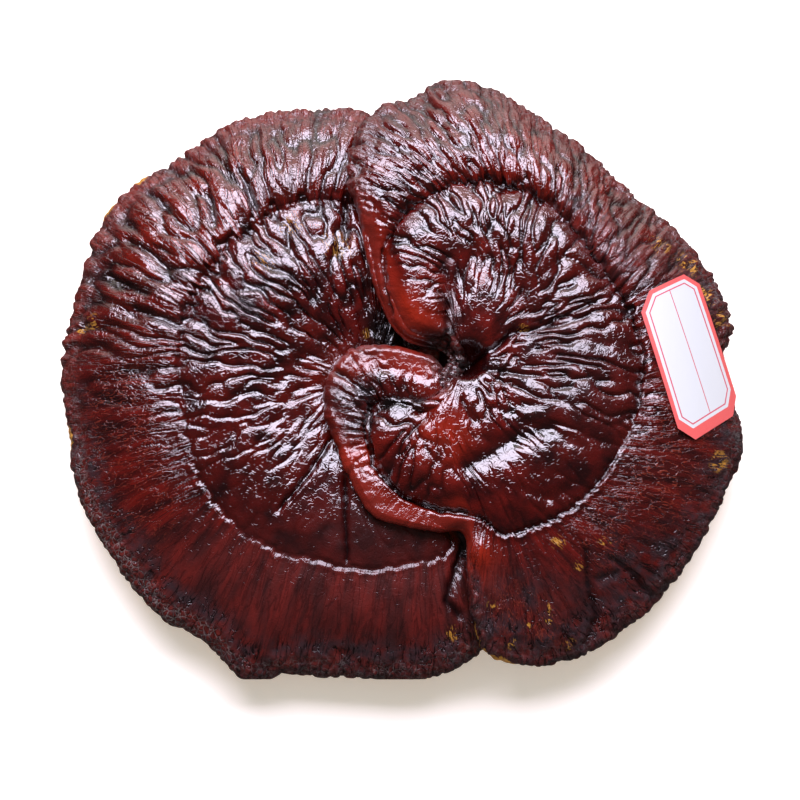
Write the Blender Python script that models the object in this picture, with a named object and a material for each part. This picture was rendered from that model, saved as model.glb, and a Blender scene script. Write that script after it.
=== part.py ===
"""Reishi mushroom: two lacquered caps grown over each other from one cut stem, with a paper label.

Plan sizes are in millimetres from the centre of the stem's cut face, +Y away from the viewer.
Each cap starts as a turned blank, a flat disc with a half-round edge, which is then warped.
On the blank, radius 0 is the growth centre, 1 the inner mound, 2 the growth furrow and 3 the rim.
"""
import math

import bmesh
import bpy
from mathutils import Matrix, Vector, noise
from mathutils.bvhtree import BVHTree

MM = 0.001

# Driving sizes, in millimetres
STEM_LENGTH, STEM_WIDTH, STEM_HEIGHT = 54.0, 42.0, 18.0
STEM_FLARE = 1.12
GAP = 0.3
RIM_RADIUS_LOW, RIM_RADIUS_HIGH = 5.6, 4.4
RIM_LOW_LEVEL, RIM_HIGH_LEVEL = 16.0, 36.0
UNDERSIDE_LEVEL = STEM_HEIGHT
LABEL_THICKNESS = 0.4
LABEL_CENTRE = (97.5, 3.0, 33.4)
LABEL_SLOPE = (-0.5, 0.03)
LABEL_BEND = 0.013
LABEL_STRIP = 5.0
LABEL_OUTLINE = [
    (95.5, 32), (101.5, 29), (115, -9), (113.5, -16.5),
    (98.5, -26), (92.5, -23), (80, 17.5), (83, 25),
]

# The blank: how finely each cap is divided
SPOKE_SPACING = 4.8
TOP_RADII = [0, 0.35, 0.7, 1, 1.33, 1.66, 1.9, 2, 2.1, 2.3, 2.52, 2.74, 2.92, 3]
RIM_ANGLES = [45, 0, -45]
UNDER_RADII = [3, 2.75, 2.4, 2, 1.5, 1, 0.5, 0]

# Growth furrow, rim furrow and radial ridges of both caps
FURROW_DEPTH, FURROW_WIDTH = 2.4, 3.0
RIDGE_HEIGHT, RIDGE_FADE = 1.3, 75.0
RIM_BUMP = 0.8
PIT_RADIUS = 6.0
CREST = 2.6
LIP_THICKNESS = 4.0
FACET_REACH, FACET_CLEARANCE = 6.0, 0.9

# A station is one spoke of a cap: (x, y, z) on its outer edge at mid-thickness, in the growth
# furrow, and on the inner mound.  The stations run clockwise, seen from above.
LEFT_CENTRE = (-20, -7, 29)
LEFT_STATIONS = [
    # near edge, from the notch between the caps round to the left
    ((24, -98, 16), (14, -64, 28.5), (-12, -20.5, 30)),
    ((5, -108, 15.5), (4, -69, 31.5), (-16, -23, 31)),
    ((-11, -108, 15), (-6, -71, 32), (-18, -24, 31.5)),
    ((-28, -107, 15), (-20, -71, 32.5), (-21, -24, 32)),
    ((-44, -106, 15), (-33, -69, 32.5), (-23, -23, 32)),
    ((-58, -108, 15), (-45, -66, 32.5), (-25, -22, 32)),
    ((-72, -96, 15.5), (-55, -61, 33), (-27, -19, 32)),
    ((-90, -86, 15.5), (-64, -53, 33), (-29, -17, 32)),
    # left edge
    ((-106, -67, 15.5), (-71, -44, 33), (-31, -14, 32)),
    ((-118, -43, 15.5), (-76, -31, 33), (-32, -11, 32)),
    ((-122, -21, 15.5), (-80, -17, 33), (-32, -8, 32)),
    ((-126, -1, 15.5), (-81, -3, 33), (-32, -5, 32)),
    ((-122, 23, 15.5), (-80, 10, 33), (-31, -1, 32)),
    ((-116, 47, 15.5), (-76, 23, 33), (-30, 2, 32)),
    # far edge
    ((-103, 67, 15.5), (-71, 34, 33), (-28, 4, 31.5)),
    ((-84, 80, 15.5), (-63, 43, 33), (-26, 6, 31)),
    ((-68, 92, 15.5), (-54, 51, 33), (-23, 8, 30.5)),
    ((-50, 98, 15.5), (-45, 57, 32.5), (-21, 9, 30)),
    ((-31, 98, 15.5), (-34, 59, 32), (-18, 9, 29)),
    ((-13, 96, 15.5), (-24, 59, 30), (-16, 9, 28)),
    # hidden edge under the right cap
    ((-4, 79, 17), (-16, 54, 28), (-13, 7, 27.5)),
    ((1, 56, 20), (-11, 38, 26.5), (-12, 4, 27)),
    ((6, 30, 23.5), (-5, 19, 26), (-11, 0, 27)),
    ((9, 0, 23.5), (-2, -1, 26), (-10, -5, 27)),
    ((9, -28, 23.5), (-1, -21, 26), (-10, -11, 27)),
    ((18, -55, 20), (4, -38, 26), (-10, -15, 28)),
    ((25, -79, 17), (10, -53, 27), (-10.5, -18, 29)),
]
RIGHT_CENTRE = (19, 0, 28)
RIGHT_STATIONS = [
    # inside the pit, then along the left edge of the far lobe
    ((14.5, 1.5, 32), (16, 1, 32), (17.5, 0, 31)),
    ((13, 5, 33), (15, 5, 34), (17.3, 2.5, 33)),
    ((9, 6, 34), (11, 9, 37), (15, 8, 36)),
    ((3, 6.5, 35), (4, 12, 40), (13, 14, 39)),
    ((-3, 10, 36), (-2, 16, 41), (11.5, 18, 40.5)),
    ((-8, 16, 36), (-6, 20, 40.5), (11, 22.5, 40.5)),
    ((-13, 27, 36), (-9, 28, 40), (11.5, 26.5, 40.5)),
    ((-16, 40, 36), (-10, 38, 39.5), (12.5, 31.5, 40.5)),
    ((-19, 54, 36), (-5, 48, 39), (15.5, 34.5, 40.5)),
    ((-22, 67, 35), (1, 55, 38.5), (19, 36, 40.5)),
    ((-19, 81, 32), (8, 60, 38), (22.5, 36, 40.5)),
    ((-12, 95, 25), (15, 63, 37.5), (25, 36, 40.5)),
    # far and right edge
    ((0, 101, 19), (22, 64, 37), (28, 35, 40.5)),
    ((13, 108, 17), (28, 65, 36.5), (31, 34, 40.5)),
    ((29, 107, 16), (35, 63, 36.5), (33, 31.5, 40.5)),
    ((45, 96, 16), (44, 59, 36.5), (35, 28, 40.5)),
    ((62, 83, 16), (53, 52, 36.5), (36.5, 23.5, 40.5)),
    ((78, 68, 16), (62, 41, 36), (37.5, 19, 40)),
    ((95, 55, 16), (70, 29, 36), (38, 14, 39.5)),
    ((109, 37, 16), (77, 16, 36), (38, 9, 39)),
    ((113, 17, 16), (80, 3, 36), (37.5, 3.5, 39)),
    ((117, -8, 16), (79, -11, 36), (36.5, -3, 39.5)),
    ((117, -28, 16), (74, -27, 36), (34.5, -9, 40)),
    # near edge
    ((108, -48, 16), (65, -41, 36.5), (31, -15, 40.5)),
    ((97, -67, 16), (56, -50, 36.5), (27, -20, 41)),
    ((80, -86, 16), (46, -56, 37), (22.5, -23, 41.5)),
    ((60, -98, 17), (37, -59, 37), (18.5, -25, 41.5)),
    ((41, -103, 19), (32, -60, 37), (16, -25.5, 41.5)),
    ((26, -99, 24), (28, -58, 37), (14, -25, 41.5)),
    ((20, -79, 30), (24, -55, 37.5), (12.5, -24, 41.5)),
    # thick red lip that curls back over the left cap
    ((18, -60, 33), (20, -54, 38), (11, -23.5, 41.5)),
    ((9, -59, 34), (13, -53, 38), (9.5, -23, 41.5)),
    ((-3, -57, 35), (3, -50, 38), (8, -22, 41)),
    ((-14, -53, 35.5), (-6, -45, 38), (6.5, -21, 40.5)),
    ((-21, -40, 36), (-12, -36, 38), (5.5, -20, 40)),
    ((-27, -26, 36), (-16, -26, 38), (5, -18.5, 39)),
    ((-30, -14, 36), (-15, -19, 37), (5.5, -17, 38)),
    ((-27, -3, 36), (-12, -14, 36.5), (6.5, -15.5, 38)),
    ((-20, 4, 36), (-8, -11.5, 36), (8, -13.5, 38)),
    ((-9, 5.5, 36), (-3, -11, 36), (9.5, -11.5, 38)),
    ((0, 3.5, 35.5), (2, -11, 36), (11, -9.6, 38)),
    ((7.5, 0, 35), (6.5, -10, 36), (12.5, -7.7, 37)),
    ((11.5, -4.5, 34), (10, -8, 35), (14.2, -5.6, 35.5)),
    ((13.5, -1.5, 33), (14, -3.5, 33.5), (16.3, -2.6, 33)),
]

# Swellings of the right cap: (x, y), reach along x and y, height
RIGHT_SWELLINGS = [
    ((26, 20), (8, 13), 4.0),
    ((11, -20), (7, 8), 2.5),
    ((3, 22), (7, 8), 1.5),
]
LEFT_SWELLINGS = [
    ((-88, -30), (14, 22), 1.2),
    ((-60, 70), (22, 10), 1.0),
    ((-10, -88), (26, 9), 1.0),
]


def smooth_step(low, high, value):
    """Rise from 0 to 1 between low and high, level at both ends."""
    t = min(1.0, max(0.0, (value - low) / (high - low)))
    return t * t * (3.0 - 2.0 * t)


def closed_curve(points, place):
    """Point of the smooth closed curve through points, at a place counted in stations."""
    count = len(points)
    first = math.floor(place)
    t = place - first
    a, b, c, d = (Vector(points[(first + k) % count]) for k in (-1, 0, 1, 2))
    return 0.5 * (2 * b + (c - a) * t + (2 * a - 5 * b + 4 * c - d) * t**2
                  + (3 * b - a - 3 * c + d) * t**3)


def lay_spokes(stations):
    """Edge, furrow and mound points of each spoke: one at each station and more where it is far
    to the next one."""
    curves = list(zip(*stations))
    spokes = []
    for station, (edge, furrow, _) in enumerate(stations):
        next_edge, next_furrow, _ = stations[(station + 1) % len(stations)]
        length = 0.5 * (math.dist(edge, next_edge) + math.dist(furrow, next_furrow))
        count = max(1, round(length / SPOKE_SPACING))
        for k in range(count):
            spokes.append([closed_curve(curve, station + k / count) for curve in curves])
    return spokes


def rim_radius(edge, furrow):
    """The rim is thick and low where it is free, and thinner where it lies over the other cap."""
    high = smooth_step(RIM_LOW_LEVEL, RIM_HIGH_LEVEL, edge.z)
    radius = RIM_RADIUS_LOW + (RIM_RADIUS_HIGH - RIM_RADIUS_LOW) * high
    return min(radius, 0.36 * (edge.xy - furrow.xy).length)


def on_spoke(centre, spoke, radius):
    """Plan point at a blank radius along a spoke, with the nearer two heights mixed."""
    edge, furrow, mound = spoke
    outward = (edge.xy - furrow.xy).normalized()
    rim = rim_radius(edge, furrow)
    crown = Vector((*(edge.xy - outward * rim), edge.z + rim))
    knots = [centre, mound, furrow, crown]
    zone = min(2, int(radius))
    return knots[zone].lerp(knots[zone + 1], radius - zone)


def swelling(swellings, x, y):
    """Height that the rounded swellings add at a plan point."""
    return sum(height * math.exp(-((x - at[0]) / reach[0]) ** 2 - ((y - at[1]) / reach[1]) ** 2)
               for at, reach, height in swellings)


def top_height(centre, spoke, radius, point, swellings, ridge):
    """Height of a cap's upper side."""
    edge, furrow, mound = spoke
    width = (edge.xy - furrow.xy).length
    z = point.z
    if radius < 1:
        rise = smooth_step(0.2 * PIT_RADIUS, PIT_RADIUS, (point.xy - centre.xy).length)
        z = centre.z + (mound.z - centre.z) * max(rise, radius**2)
    elif radius < 2:
        z += 0.7 * CREST * math.sin(math.pi * (radius - 1))
    else:
        # The outer band is nearly level at first, then bows down to the rim's crown.
        t = radius - 2
        crown_z = edge.z + rim_radius(edge, furrow)
        z = furrow.z + (crown_z - furrow.z) * t**1.8
        z += min(CREST, 0.25 * width) * math.sin(math.pi * t**0.6)
    from_furrow = (point.xy - furrow.xy).length
    z -= FURROW_DEPTH * math.exp(-(from_furrow / FURROW_WIDTH) ** 2)
    fade = min(1, (point.xy - centre.xy).length / RIDGE_FADE) * smooth_step(1, 5, from_furrow)
    if radius < 3:
        z += ridge * RIDGE_HEIGHT * fade
    return z + swelling(swellings, point.x, point.y) * smooth_step(3, 2.6, radius)


def under_height(spoke, radius):
    """Height of a cap's pore side: dished, and level where the stem meets it."""
    edge, furrow, _ = spoke
    low = edge.z - rim_radius(edge, furrow)
    return low + (UNDERSIDE_LEVEL - low) * smooth_step(3, 1.9, radius)


def turned_blank(steps):
    """A flat disc of radius 3 with a half-round edge, turned in as many steps as there are spokes."""
    profile = [(radius, 1) for radius in TOP_RADII]
    profile += [(3 + math.cos(math.radians(a)), math.sin(math.radians(a))) for a in RIM_ANGLES]
    profile += [(radius, -1) for radius in UNDER_RADII]
    shape = bmesh.new()
    ring = [shape.verts.new((radius, 0, height)) for radius, height in profile]
    edges = [shape.edges.new(pair) for pair in zip(ring, ring[1:])]
    bmesh.ops.spin(shape, geom=ring + edges, cent=(0, 0, 0), axis=(0, 0, 1), angle=math.tau,
                   steps=steps, use_merge=True, use_normal_flip=False, use_duplicate=False)
    bmesh.ops.remove_doubles(shape, verts=shape.verts[:], dist=0.001)
    bmesh.ops.recalc_face_normals(shape, faces=shape.faces[:])
    return shape


def on_label_bed(x, y, spare):
    """Whether a plan point lies under the label or within a spare width of it."""
    start = Vector((0.5 * (LABEL_OUTLINE[0][0] + LABEL_OUTLINE[7][0]),
                    0.5 * (LABEL_OUTLINE[0][1] + LABEL_OUTLINE[7][1])))
    end = Vector((0.5 * (LABEL_OUTLINE[3][0] + LABEL_OUTLINE[4][0]),
                  0.5 * (LABEL_OUTLINE[3][1] + LABEL_OUTLINE[4][1])))
    along = (end - start).normalized()
    offset = Vector((x, y)) - start
    across = abs(offset.x * along.y - offset.y * along.x)
    inside = -spare < offset.dot(along) < (end - start).length + spare
    return inside and across < 12.5 + spare


def label_height(x, y):
    """Height of the label at mid-thickness: it slopes outwards and bends down with the cap."""
    out = x - LABEL_CENTRE[0]
    return (LABEL_CENTRE[2] + LABEL_SLOPE[0] * out - LABEL_BEND * out**2
            + LABEL_SLOPE[1] * (y - LABEL_CENTRE[1]))


def warped_cap(centre, stations, swellings, seed, floor=None):
    """Turn a blank and move every point of it to its place on the cap, in metres.  The floor
    gives the height that the cap has to clear at a plan point, where it lies over another."""
    centre = Vector(centre)
    spokes = lay_spokes(stations)
    shape = turned_blank(len(spokes))
    for vert in shape.verts:
        radius = math.hypot(vert.co.x, vert.co.y)
        layer = vert.co.z
        turn = -math.atan2(vert.co.y, vert.co.x) / math.tau
        number = round(turn * len(spokes)) % len(spokes)
        spoke = spokes[number]
        edge, furrow, _ = spoke
        rim = rim_radius(edge, furrow)
        wander = noise.noise(Vector((number * 0.9, radius * 1.3, seed)))
        ridge = (1 if number % 2 else -1) * (0.6 + 0.8 * wander) + 1.2 * wander
        point = on_spoke(centre, spoke, min(3, radius))
        if radius < 3.001 and layer > 0:
            point.z = top_height(centre, spoke, radius, point, swellings, ridge)
        elif radius < 3.001:
            point.z = under_height(spoke, radius)
        else:
            outward = (edge.xy - furrow.xy).normalized()
            reach = rim * (radius - 3) + RIM_BUMP * min(1, rim / 4) * (0.5 * ridge - 0.5)
            point = Vector((*(point.xy + outward * reach), edge.z + rim * layer))
        if floor:
            point.z = max(point.z, floor(point.x, point.y) + LIP_THICKNESS * (layer + 1) / 2)
        vert.co = point * MM
    return shape


def floor_over(lower_cap, reach):
    """A function for the height that clears a cap's top within a reach of a plan point."""
    tree = BVHTree.FromPolygons([v.co / MM for v in lower_cap.data.vertices],
                                [p.vertices for p in lower_cap.data.polygons])
    around = [(0.0, 0.0)]
    around += [(math.cos(k * math.pi / 6) * part * reach, math.sin(k * math.pi / 6) * part * reach)
               for k in range(12) for part in (0.35, 0.7, 1)]

    def floor(x, y):
        hits = [tree.ray_cast(Vector((x + dx, y + dy, 100)), Vector((0, 0, -1)))[0]
                for dx, dy in around]
        return max([hit.z for hit in hits if hit], default=0.0) + FACET_CLEARANCE

    return floor


def press_label_bed(shape):
    """Lower the top of the right cap where it would stand through the label."""
    for vert in shape.verts:
        x, y, z = vert.co / MM
        if z > 16 and on_label_bed(x, y, 8):
            vert.co.z = min(z, label_height(x, y) - 0.5 * LABEL_THICKNESS - GAP - 0.1) * MM


def finish(name, shape, material, smooth=True):
    """Make an object of the mesh in the part's collection."""
    mesh = bpy.data.meshes.new(name)
    shape.to_mesh(mesh)
    shape.free()
    mesh.materials.append(material)
    if smooth:
        mesh.shade_smooth()
        mesh.set_sharp_from_angle(angle=math.radians(50))
    item = bpy.data.objects.new(name, mesh)
    parts.objects.link(item)
    return item


def surface(name, colour, roughness):
    """A plain Principled material."""
    material = bpy.data.materials.new(name)
    material.use_nodes = True
    shader = material.node_tree.nodes["Principled BSDF"]
    shader.inputs["Base Color"].default_value = (*colour, 1)
    shader.inputs["Roughness"].default_value = roughness
    return material


def make_left_cap(material):
    """The lower cap, a fan that runs on under the right one."""
    shape = warped_cap(LEFT_CENTRE, LEFT_STATIONS, LEFT_SWELLINGS, 3.1)
    return finish("left_cap", shape, material)


def make_right_cap(material, left_cap):
    """The upper cap, whose edge curls round as a thick lip over the left one."""
    shape = warped_cap(RIGHT_CENTRE, RIGHT_STATIONS, RIGHT_SWELLINGS, 7.7,
                       floor_over(left_cap, FACET_REACH))
    press_label_bed(shape)
    return finish("right_cap", shape, material)


def make_stem(material):
    """The cut-off stem: a short oval stub with a slight flare under the caps."""
    shape = bmesh.new()
    height = STEM_HEIGHT - GAP
    bmesh.ops.create_cone(shape, cap_ends=True, segments=32, radius1=0.5, radius2=0.5,
                          depth=height * MM, matrix=Matrix.Translation((0, 0, 0.5 * height * MM)))
    waist = [e for e in shape.edges if abs(e.verts[0].co.z - e.verts[1].co.z) > 0.5 * height * MM]
    bmesh.ops.subdivide_edges(shape, edges=waist, cuts=3, use_grid_fill=False)
    for vert in shape.verts:
        level = vert.co.z / (height * MM)
        turn = math.atan2(vert.co.y, vert.co.x)
        knobbly = 0.035 * noise.noise(Vector((3 * math.cos(turn), 3 * math.sin(turn), 2 * level)))
        spread = (1 + (STEM_FLARE - 1) * level**2) / STEM_FLARE * (1 + knobbly)
        vert.co.x *= STEM_LENGTH * MM * spread
        vert.co.y *= STEM_WIDTH * MM * spread
    bmesh.ops.recalc_face_normals(shape, faces=shape.faces[:])
    return finish("stem", shape, material)


def make_label(material):
    """The stuck-on paper label: a strip with its corners cut off, bent a little over the cap."""
    shape = bmesh.new()
    shape.faces.new([shape.verts.new((x * MM, y * MM, 0)) for x, y in LABEL_OUTLINE])
    first = min(x for x, _ in LABEL_OUTLINE)
    last = max(x for x, _ in LABEL_OUTLINE)
    for k in range(1, math.ceil((last - first) / LABEL_STRIP)):
        bmesh.ops.bisect_plane(shape, geom=shape.verts[:] + shape.edges[:] + shape.faces[:],
                               plane_co=((first + k * LABEL_STRIP) * MM, 0, 0),
                               plane_no=(1, 0, 0))
    raised = bmesh.ops.extrude_face_region(shape, geom=shape.faces[:])["geom"]
    upper = {item for item in raised if isinstance(item, bmesh.types.BMVert)}
    for vert in shape.verts:
        side = 0.5 if vert in upper else -0.5
        level = label_height(vert.co.x / MM, vert.co.y / MM)
        vert.co.z = (level + side * LABEL_THICKNESS) * MM
    bmesh.ops.recalc_face_normals(shape, faces=shape.faces[:])
    return finish("label", shape, material, smooth=False)


for item in list(bpy.data.objects):
    bpy.data.objects.remove(item, do_unlink=True)
parts = bpy.data.collections.new("reishi_mushroom")
bpy.context.scene.collection.children.link(parts)

lower_lacquer = surface("lacquered_crust_dark", (0.075, 0.012, 0.012), 0.3)
upper_lacquer = surface("lacquered_crust_red", (0.11, 0.014, 0.012), 0.25)
left = make_left_cap(lower_lacquer)
right = make_right_cap(upper_lacquer, left)
stem = make_stem(surface("cut_woody_flesh", (0.19, 0.09, 0.045), 0.8))
label = make_label(surface("label_paper", (0.85, 0.84, 0.87), 0.6))
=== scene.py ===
# %% [markdown]
# # A reishi mushroom with two lacquered caps
# A reishi is a woody bracket fungus.  Its caps are covered with a thin, hard, glossy crust that
# looks varnished, dark red-brown with black furrows.  This one has two caps grown out of one cut
# stem.  The right cap lies over the left one and curls round a pit as a thick red lip.
#
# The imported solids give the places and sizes.  Each piece below replaces one of them with a
# finely divided mesh, in the same place, and carries the relief and finish of the real one.

from functools import partial
import math
from types import SimpleNamespace

import bmesh
import bpy
import numpy as np
from mathutils import Matrix, Vector


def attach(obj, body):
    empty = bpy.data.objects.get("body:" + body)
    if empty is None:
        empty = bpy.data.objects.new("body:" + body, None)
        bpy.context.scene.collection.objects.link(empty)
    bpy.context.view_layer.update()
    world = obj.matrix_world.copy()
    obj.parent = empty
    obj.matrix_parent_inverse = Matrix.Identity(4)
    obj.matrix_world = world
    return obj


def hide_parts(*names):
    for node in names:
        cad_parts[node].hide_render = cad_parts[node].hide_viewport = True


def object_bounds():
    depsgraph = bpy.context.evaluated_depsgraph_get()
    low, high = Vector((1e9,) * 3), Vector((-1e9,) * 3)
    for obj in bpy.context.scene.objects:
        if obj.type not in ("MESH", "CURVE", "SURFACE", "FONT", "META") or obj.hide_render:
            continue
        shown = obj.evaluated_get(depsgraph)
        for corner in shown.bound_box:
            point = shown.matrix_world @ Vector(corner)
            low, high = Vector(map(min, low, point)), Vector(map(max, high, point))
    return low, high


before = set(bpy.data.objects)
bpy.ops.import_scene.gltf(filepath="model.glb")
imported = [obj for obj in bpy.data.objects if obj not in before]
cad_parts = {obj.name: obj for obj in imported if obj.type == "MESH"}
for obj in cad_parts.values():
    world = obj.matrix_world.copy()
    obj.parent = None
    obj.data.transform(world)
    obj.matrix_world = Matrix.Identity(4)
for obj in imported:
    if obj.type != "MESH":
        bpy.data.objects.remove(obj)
cad_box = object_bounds()
MM = 0.001
print("solids' box", cad_box)

# %% [markdown]
# ## Spokes: how a cap is described
# A cap grows outwards from one centre and leaves a furrow where its growth paused.  So it is
# described by spokes.  Each row holds three points of a spoke in millimetres: on the outer edge at
# mid-thickness, in the growth furrow, and on the mound round the centre.  The rows run clockwise,
# seen from above, and smooth curves through them give as many spokes between them as are needed.

# %% The left cap's spokes
LEFT_CENTRE = (-20, -7, 29)
LEFT_STATIONS = [
    # near edge, from the notch between the caps round to the left
    ((24, -98, 16), (14, -64, 28.5), (-12, -20.5, 30)),
    ((5, -108, 15.5), (4, -69, 31.5), (-16, -23, 31)),
    ((-11, -108, 15), (-6, -71, 32), (-18, -24, 31.5)),
    ((-28, -107, 15), (-20, -71, 32.5), (-21, -24, 32)),
    ((-44, -106, 15), (-33, -69, 32.5), (-23, -23, 32)),
    ((-58, -108, 15), (-45, -66, 32.5), (-25, -22, 32)),
    ((-71.5, -95.2, 15.5), (-55, -61, 33), (-27, -19, 32)),
    ((-89, -85, 15.5), (-64, -53, 33), (-29, -17, 32)),
    # left edge
    ((-104.3, -66, 15.5), (-71, -44, 33), (-31, -14, 32)),
    ((-118, -43, 15.5), (-76, -31, 33), (-32, -11, 32)),
    ((-122, -21, 15.5), (-80, -17, 33), (-32, -8, 32)),
    ((-125, -1, 15.5), (-81, -3, 33), (-32, -5, 32)),
    ((-121, 22.7, 15.5), (-80, 10, 33), (-31, -1, 32)),
    ((-115, 46.5, 15.5), (-76, 23, 33), (-30, 2, 32)),
    # far edge
    ((-102.3, 66.5, 15.5), (-71, 34, 33), (-28, 4, 31.5)),
    ((-83.4, 79.3, 15.5), (-63, 43, 33), (-26, 6, 31)),
    ((-67.3, 91, 15.5), (-54, 51, 33), (-23, 8, 30.5)),
    ((-49, 95.8, 15.5), (-45, 57, 32.5), (-21, 9, 30)),
    ((-31, 98, 15.5), (-34, 59, 32), (-18, 9, 29)),
    ((-13, 94.5, 15.5), (-24, 59, 30), (-16, 9, 28)),
    # hidden edge under the right cap
    ((-4, 79, 17), (-16, 54, 28), (-13, 7, 27.5)),
    ((1, 56, 20), (-11, 38, 26.5), (-12, 4, 27)),
    ((6, 30, 23.5), (-5, 19, 26), (-11, 0, 27)),
    ((9, 0, 23.5), (-2, -1, 26), (-10, -5, 27)),
    ((9, -28, 23.5), (-1, -21, 26), (-10, -11, 27)),
    ((18, -55, 20), (4, -38, 26), (-10, -15, 28)),
    ((25, -79, 17), (10, -53, 27), (-10.5, -18, 29)),
]

# %% The right cap's spokes
RIGHT_CENTRE = (19, 0, 28)
RIGHT_STATIONS = [
    # inside the pit, then along the left edge of the far lobe
    ((14.5, 1.5, 32), (16, 1, 32), (17.5, 0, 31)),
    ((13, 4.8, 33), (15, 4.8, 34), (17.3, 2.5, 33)),
    ((9.8, 5.2, 34), (11, 7.6, 37.5), (15, 9.5, 38.5)),
    ((4, 5.6, 35), (4.5, 8.2, 39), (13, 15, 40)),
    ((-2.2, 8, 36), (-1, 10.8, 39.8), (11.5, 18.5, 40.5)),
    ((-8, 15, 36), (-5, 17.5, 40), (11, 22.5, 40.5)),
    ((-13, 27, 36), (-9, 28, 40), (11.5, 26.5, 40.5)),
    ((-16, 40, 36), (-10, 38, 39.5), (12.5, 31.5, 40.5)),
    ((-19, 54, 36), (-5, 48, 39), (15.5, 34.5, 40.5)),
    ((-22, 67, 35), (1, 55, 38.5), (19, 36, 40.5)),
    ((-19, 81, 32), (8, 60, 38), (22.5, 36, 40.5)),
    ((-12, 95, 25), (15, 63, 37.5), (25, 36, 40.5)),
    # far and right edge
    ((0, 100, 19), (22, 64, 37), (28, 35, 40.5)),
    ((13, 108, 17), (28, 65, 36.5), (31, 34, 40.5)),
    ((28.6, 105.8, 16), (35, 63, 36.5), (33, 31.5, 40.5)),
    ((44.5, 94.8, 16), (44, 59, 36.5), (35, 28, 40.5)),
    ((62, 83, 16), (53, 52, 36.5), (36.5, 23.5, 40.5)),
    ((77.3, 67.3, 16), (62, 41, 36), (37.5, 19, 40)),
    ((93, 53.6, 16), (70, 29, 36), (38, 14, 39.5)),
    ((107, 36, 16), (77, 16, 36), (38, 9, 39)),
    ((113.6, 18, 16), (80, 3, 36), (37.5, 3.5, 39)),
    ((110.5, 6, 16), (80, -4, 36), (37.1, 0.3, 39.2)),
    ((112.3, -5, 16), (79.5, -9.5, 36), (36.7, -2.3, 39.4)),
    ((116, -17, 16), (77.5, -18, 36), (35.8, -5.5, 39.7)),
    ((117, -28, 16), (74, -27, 36), (34.5, -9, 40)),
    # near edge
    ((108, -48, 16), (65, -41, 36.5), (31, -15, 40.5)),
    ((97, -67, 16), (56, -50, 36.5), (27, -20, 41)),
    ((80, -86, 16), (46, -56, 37), (22.5, -23, 41.5)),
    ((58.5, -100, 17), (37, -59, 37), (18.5, -25, 41.5)),
    ((41, -103, 19), (32, -60, 37), (16, -25.5, 41.5)),
    ((26, -99, 24), (28, -58, 37), (14, -25, 41.5)),
    ((20, -79, 30), (24, -55, 37.5), (12.5, -24, 41.5)),
    # thick red lip that curls back over the left cap
    ((18, -60, 33), (20, -54, 38), (11, -23.5, 41.5)),
    ((9, -59, 34), (13, -53, 38), (9.5, -23, 41.5)),
    ((-3, -57, 35), (3, -50, 38), (8, -22, 41)),
    ((-14, -53, 35.5), (-6, -45, 38), (6.5, -21, 40.5)),
    ((-21, -40, 36), (-12, -36, 38), (5.5, -20, 40)),
    ((-27, -26, 36), (-16, -26, 38), (5, -18.5, 39)),
    ((-30, -14, 36), (-15, -19, 37), (5.5, -17, 38)),
    ((-27, -3, 36), (-12, -14, 36.5), (6.5, -15.5, 38)),
    ((-20, 4, 36), (-9, -15, 35.5), (7, -17, 38)),
    ((-9, 5.5, 36), (-3, -15.5, 35.5), (8.5, -17.5, 38.5)),
    ((0, 4, 35.5), (3, -15, 35.5), (10.5, -16.5, 39)),
    ((5.8, 2.3, 35), (7.5, -13.5, 35), (12.5, -14.5, 39)),
    ((9, -0.8, 34.5), (10.5, -10.5, 34.5), (14.3, -11, 38)),
    ((10.8, -3.5, 34), (11.8, -7, 34), (15.5, -7, 36)),
    ((13.5, -1.5, 33), (14, -3.5, 33.5), (16.3, -2.6, 33)),
]

# %% Smooth closed curves and evenly spread spokes
SPOKES = 900


def smooth_step(low, high, value):
    """Rise from 0 to 1 between low and high, level at both ends."""
    t = np.clip((value - low) / (high - low), 0, 1)
    return t * t * (3 - 2 * t)


def closed_curve(points, places):
    """Points of the smooth closed curve through points, at places counted in rows."""
    count = len(points)
    first = np.floor(places).astype(int)
    t = (places - first)[:, None]
    a, b, c, d = (points[(first + k) % count] for k in (-1, 0, 1, 2))
    return 0.5 * (2 * b + (c - a) * t + (2 * a - 5 * b + 4 * c - d) * t**2
                  + (3 * b - a - 3 * c + d) * t**3)


def lay_spokes(stations):
    """The edge, furrow and mound points of all the spokes, and the rows' count at each."""
    curves = [np.array(points, float) for points in zip(*stations)]
    fine = np.arange(0, len(stations), 1 / 32)
    edge, furrow = (closed_curve(curve, fine) for curve in curves[:2])
    steps = [np.linalg.norm(np.roll(line, -1, axis=0) - line, axis=1) for line in (edge, furrow)]
    along = np.append(0, np.cumsum(0.5 * (steps[0] + steps[1])))
    places = np.interp(np.arange(SPOKES) / SPOKES * along[-1], along,
                       np.append(fine, len(stations)))
    return [closed_curve(curve, places) for curve in curves], places


for name, stations in (("left", LEFT_STATIONS), ("right", RIGHT_STATIONS)):
    (edge, furrow, _), _ = lay_spokes(stations)
    girth = np.linalg.norm(np.roll(edge, -1, axis=0) - edge, axis=1).sum()
    print(name, "cap: edge", round(girth), "mm round, a spoke each", round(girth / SPOKES, 2), "mm")

# %% [markdown]
# ## The blank: a disc turned on its axis
# A cap is a disc with a half-round edge, so its mesh starts as one: half of its outline, spun
# round the axis.  On this blank, radius 0 is the growth centre, 1 the mound, 2 the growth furrow
# and 3 the crown of the rim.  The rings lie closest at the furrow and at the rim, where the real
# skin has its sharpest detail.  A sculpted or remeshed shape would lose these tidy spokes, which
# the ridges follow.

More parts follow.
